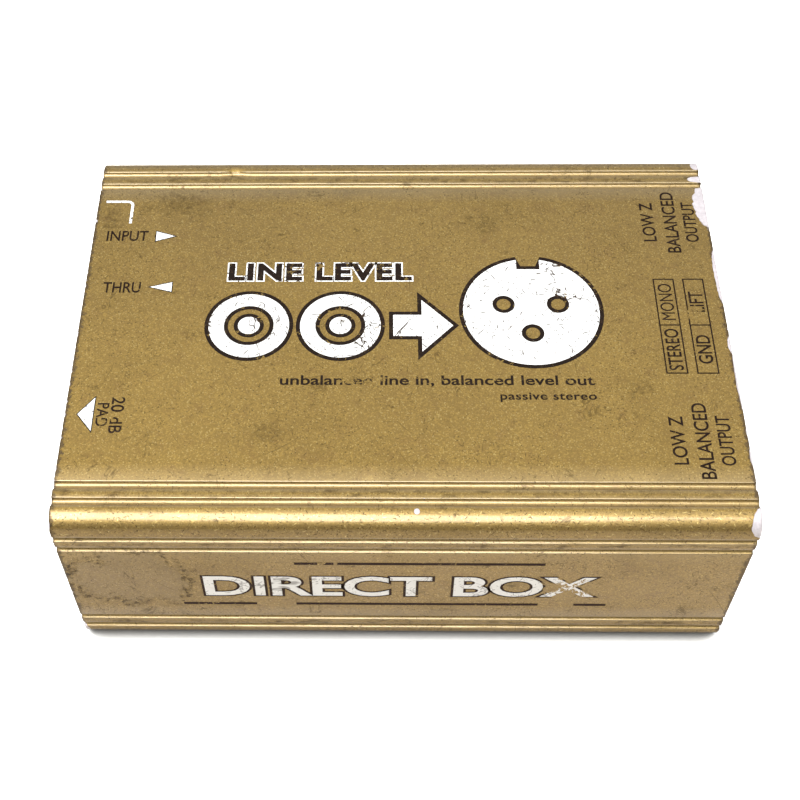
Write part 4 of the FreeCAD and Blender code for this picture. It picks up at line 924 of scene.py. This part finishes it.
def three_pin_disc(x, y, r):
    """A disc with a key notch and three holes, like the face of a balanced connector."""
    notch = math.radians(10)
    count = 80

    def shape(grow):
        start, end = math.pi / 2 + notch, math.pi / 2 - notch + 2 * math.pi
        rim = [start + (end - start) * i / count for i in range(count + 1)]
        outside = [(x + (r + grow) * math.cos(a), y + (r + grow) * math.sin(a)) for a in rim]
        half = r * math.sin(notch) - grow
        deep = y + 0.80 * r + grow
        outside = outside + [(x + half, deep), (x - half, deep)]
        pins = [(-0.40, 0.12), (0.40, 0.12), (0.0, -0.42)]
        return [outside] + [circle(x + px * r, y + py * r, 0.165 * r - grow, 40) for px, py in pins]
    return shape


# Widths of the black lines round the mark's parts and round the pointers.
MARK_OUTLINE = 0.85
POINTER_OUTLINE = 0.2


def print_top_mark(inks):
    """Two phono rings, an arrow and a three-pin disc: unbalanced in, balanced out."""
    parts = {
        "mark_left_ring": phono_ring(-30.6, -0.4, 8.1),
        "mark_right_ring": phono_ring(-12.2, -0.4, 8.1),
        "mark_arrow": wide_arrow(-1.6, 10.4, -0.4, 2.7, 6.6),
        "mark_disc": three_pin_disc(26.2, 3.4, 13.7),
    }
    for name, shape in parts.items():
        print_outlined(name, shape, on_top(0, 0), inks["white"], inks["black"], MARK_OUTLINE)
    caption = ((inks["white"], 0.56, 0), (inks["black"], 0.27, 1))
    print_words("mark_caption", "LINE LEVEL", (37.2, 4.2), on_top(-16.6, 13.7), caption, 1.12)
    tagline = "unbalanced line in, balanced level out"
    print_words("mark_tagline", tagline, (61.0, 2.6), on_top(6.8, -14.2), ((inks["black"], 0.06, 0),))
    second = ((inks["black"], 0.05, 0),)
    print_words("mark_second_line", "passive stereo", (18.4, 2.2), on_top(28.2, -18.1), second, 1.06)


def bracket(x_left, x_right, y_low, y_top, bar, bend_r):
    """A right-angled bar with a rounded bend: along the top and down on the right."""
    hub_x, hub_y = x_right - bend_r, y_top - bend_r
    turns = [math.radians(a) for a in range(0, 91, 15)]

    def arc(r):
        return [(hub_x + r * math.sin(a), hub_y + r * math.cos(a)) for a in turns]

    outer = [(x_right, y_low)] + arc(bend_r)[::-1] + [(x_left, y_top)]
    return outer + [(x_left, y_top - bar)] + arc(bend_r - bar) + [(x_right - bar, y_low)]


def print_input_legends(inks):
    thin = ((inks["thin"], LEGEND_GROWTH, 0),)
    for name, words, size, place in (
            ("input", "INPUT", (8.7, 2.75), on_top(-57.6, 23.8)),
            ("thru", "THRU", (7.7, 2.75), on_top(-57.3, 9.6)),
            ("pad_level", "20 dB", (8.4, 2.5), on_top(-54.8, -22.4, -90)),
            ("pad", "PAD", (5.4, 2.2), on_top(-57.6, -22.3, -90))):
        print_words(f"legend_{name}", words, size, place, thin)
    loop = bracket(-63.2, -57.1, 27.4, 34.0, 0.6, 1.4)
    print_shape("legend_bracket", [loop], on_top(0, 0), inks["white"], 1)
    for name, y, base, tip, half in (
            ("input", 23.7, -51.5, -47.5, 1.35),
            ("thru", 9.7, -47.0, -51.5, 1.25),
            ("pad", -22.2, -59.4, -62.4, 3.9)):
        loop = pointer(base, tip, half)
        place = on_top(0, y)
        print_shape(f"pointer_{name}_outline", [grown(loop, POINTER_OUTLINE)], place, inks["black"], 0)
        print_shape(f"pointer_{name}", [loop], place, inks["white"], 1)


def print_output_legends(inks):
    thin = ((inks["thin"], LEGEND_GROWTH, 0),)
    plain = ((inks["thin"], 0.0, 0),)       # the legs of an M would fold over if they were grown
    lines = (("LOW Z", 52.2, 10.8, 2.7), ("BALANCED", 56.9, 17.1, 2.75), ("OUTPUT", 61.0, 11.2, 2.6))
    for side, y, shift in (("rear", 27.5, 0.0), ("front", -28.0, -0.4)):
        for index, (words, x, length, height) in enumerate(lines):
            name = f"legend_{side}_output_{index}"
            print_words(name, words, (length, height), on_top(x + shift, y, 90), thin)
    y_low, y_middle, y_high = -12.4, -0.3, 11.8
    line, width = 0.28, 4.3
    lengths = {"STEREO": 10.2, "MONO": 9.4, "GND": 7.0, "LIFT": 5.2}
    for name, words, x in (("mode", ("STEREO", "MONO"), 53.55), ("lift", ("GND", "LIFT"), 59.55)):
        x0, x1 = x - width / 2, x + width / 2
        cells = [rectangle(x0 + line, y_low + line, x1 - line, y_middle - line / 2),
                 rectangle(x0 + line, y_middle + line / 2, x1 - line, y_high - line)]
        loops = [rectangle(x0, y_low, x1, y_high)] + cells
        print_shape(f"frame_{name}", loops, on_top(0, 0), inks["thin"])
        for word, y in zip(words, (-6.4, 5.7)):
            layers = plain if "M" in word else thin
            print_words(f"legend_{word.lower()}", word, (lengths[word], 2.75), on_top(x, y, 90), layers)


def print_front_band(inks):
    words = ((inks["front_black"], 0.75, 0), (inks["front_white"], 0.28, 1))
    print_words("band_words", "DIRECT BOX", (75.0, 7.4), on_front(-0.6, 22.2), words)
    rules = {"upper": (31.2, ((-20.5, -13.0), (-12.4, 27.0))),
             "lower": (14.9, ((-43.2, -28.6), (-20.8, 27.0), (34.0, 40.4)))}
    half = 0.45
    for name, (z, lengths) in rules.items():
        bars = [rectangle(x0, -half, x1, half) for x0, x1 in lengths]
        print_shape(f"band_rule_{name}", bars, on_front(0, z), inks["front_black"])


def print_legends():
    inks = {
        "white": ink("white_ink", (0.62, 0.62, 0.605, 1), 0.045, 1.0),
        "black": ink("black_ink", (0.010, 0.006, 0.004, 1), 0.085),
        "thin": ink("brown_ink", (0.010, 0.005, 0.003, 1), 0.050),
        "front_white": ink("front_white_ink", (0.70, 0.69, 0.665, 1), 0.02, 0.55),
        "front_black": ink("front_black_ink", (0.030, 0.017, 0.012, 1), 0.080),
    }
    print_top_mark(inks)
    print_input_legends(inks)
    print_output_legends(inks)
    print_front_band(inks)


# ---- studio -------------------------------------------------------------------------------------
FLOOR_REACH = 4.0               # metres
# Reach of the painted contact shadow on the floor.
CONTACT_REACH = 5 * MM          # how near the object the floor goes dark
FADE = (0.16, 0.42)             # metres from the middle over which the floor fades to white


def make_floor():
    """A plain pale floor, brighter to the camera than to the object so that its shadows stay faint, with
    a painted contact shadow close to the object.
    """
    g = Graph("floor")
    tint = g.mix(g.noise(120.0, 3.0), (1.38, 1.38, 1.36, 1), (1.46, 1.46, 1.44, 1))
    tint = g.mix(g.add("LightPath").outputs["Is Camera Ray"], (0.48, 0.44, 0.38, 1), tint)
    # Painted contact shadow: the floor's colour goes dark where the object is close, both to the camera
    # and in reflections.
    painted_contact_shadow = g.add("AmbientOcclusion", samples=8)
    painted_contact_shadow.inputs["Distance"].default_value = CONTACT_REACH
    tint = g.mix(g.span(painted_contact_shadow.outputs["AO"], 0.95, 0.45, 0.0, 0.9), tint, (0.05, 0.045, 0.035, 1))
    lit = g.add("BsdfDiffuse")
    g.put(lit.inputs["Color"], tint)
    white = g.add("Emission")
    white.inputs["Strength"].default_value = 1.05
    far = g.span(g.vector("LENGTH", g.place, output="Value"), *FADE)
    far = g.math("MULTIPLY", far, g.add("LightPath").outputs["Is Camera Ray"])
    material = g.finish(g.blend(far, lit.outputs[0], white.outputs[0]))
    mesh = bpy.data.meshes.new("floor")
    corners = rectangle(-FLOOR_REACH, -FLOOR_REACH, FLOOR_REACH, FLOOR_REACH)
    mesh.from_pydata([(x, y, 0) for x, y in corners], [], [(0, 1, 2, 3)])
    mesh.materials.append(material)
    floor = bpy.data.objects.new("floor", mesh)
    bpy.context.scene.collection.objects.link(floor)


def make_world():
    """White to the camera; to the object a bright room that is dark low down and towards the viewer."""
    world = bpy.data.worlds.new("studio")
    bpy.context.scene.world = world
    world.use_nodes = True
    tree = world.node_tree
    background = tree.nodes["Background"]

    def spread(socket, low, high, to_low, to_high):
        node = tree.nodes.new("ShaderNodeMapRange")
        for slot, value in zip(node.inputs[1:5], (low, high, to_low, to_high)):
            slot.default_value = value
        tree.links.new(socket, node.inputs[0])
        return node.outputs[0]

    def product(a, b):
        node = tree.nodes.new("ShaderNodeMath")
        node.operation = "MULTIPLY"
        tree.links.new(a, node.inputs[0])
        tree.links.new(b, node.inputs[1])
        return node.outputs[0]

    parts = tree.nodes.new("ShaderNodeSeparateXYZ")
    tree.links.new(tree.nodes.new("ShaderNodeTexCoord").outputs["Generated"], parts.inputs[0])
    behind = spread(parts.outputs[1], -0.50, -0.10, 0.05, 0.85)
    above = spread(parts.outputs[2], 0.0, 0.45, 0.35, 1.0)
    room = product(behind, above)
    seen = tree.nodes.new("ShaderNodeMix")
    tree.links.new(tree.nodes.new("ShaderNodeLightPath").outputs["Is Camera Ray"], seen.inputs[0])
    tree.links.new(room, seen.inputs[2])
    seen.inputs[3].default_value = 1.05
    tree.links.new(seen.outputs[0], background.inputs["Strength"])
    background.inputs["Color"].default_value = (1, 1, 1, 1)


def add_light(name, direction, distance, size, power):
    """A soft rectangular light that looks at the box from a direction."""
    data = bpy.data.lights.new(name, "AREA")
    data.shape = "RECTANGLE"
    data.size, data.size_y = size
    data.energy = power
    light = bpy.data.objects.new(name, data)
    away = Vector(direction).normalized()
    light.location = Vector((0, 0, HEIGHT / 2 * MM)) + away * distance
    light.rotation_euler = away.to_track_quat("Z", "Y").to_euler()
    bpy.context.scene.collection.objects.link(light)


def light_studio():
    tilt = math.radians(20)
    add_light("key", (-0.20, -math.sin(tilt), math.cos(tilt)), 0.9, (0.9, 0.55), 17.0)
    add_light("left_fill", (-1, -0.3, 0.7), 1.2, (0.8, 0.8), 2.4)
    add_light("right_fill", (1, 0.1, 1.0), 1.2, (0.8, 0.8), 3.6)
    bpy.context.scene.view_settings.view_transform = "Standard"


def add_camera():
    """Looks down at the front from above, slightly from the left."""
    data = bpy.data.cameras.new("camera")
    data.sensor_width = 36.0
    data.lens = 62.31
    data.shift_x = 0.0689
    data.shift_y = 0.0068
    camera = bpy.data.objects.new("camera", data)
    camera.location = Vector((-4.5, -174.13, 262.0)) * MM
    camera.rotation_euler = [math.radians(a) for a in (35.383, 1.098, 0.868)]
    bpy.context.scene.collection.objects.link(camera)
    bpy.context.scene.camera = camera


def main():
    materials = make_materials()
    finish_nodes(materials)
    build_case(materials["gold_paint"])
    print_legends()
    make_floor()
    make_world()
    light_studio()
    add_camera()


main()
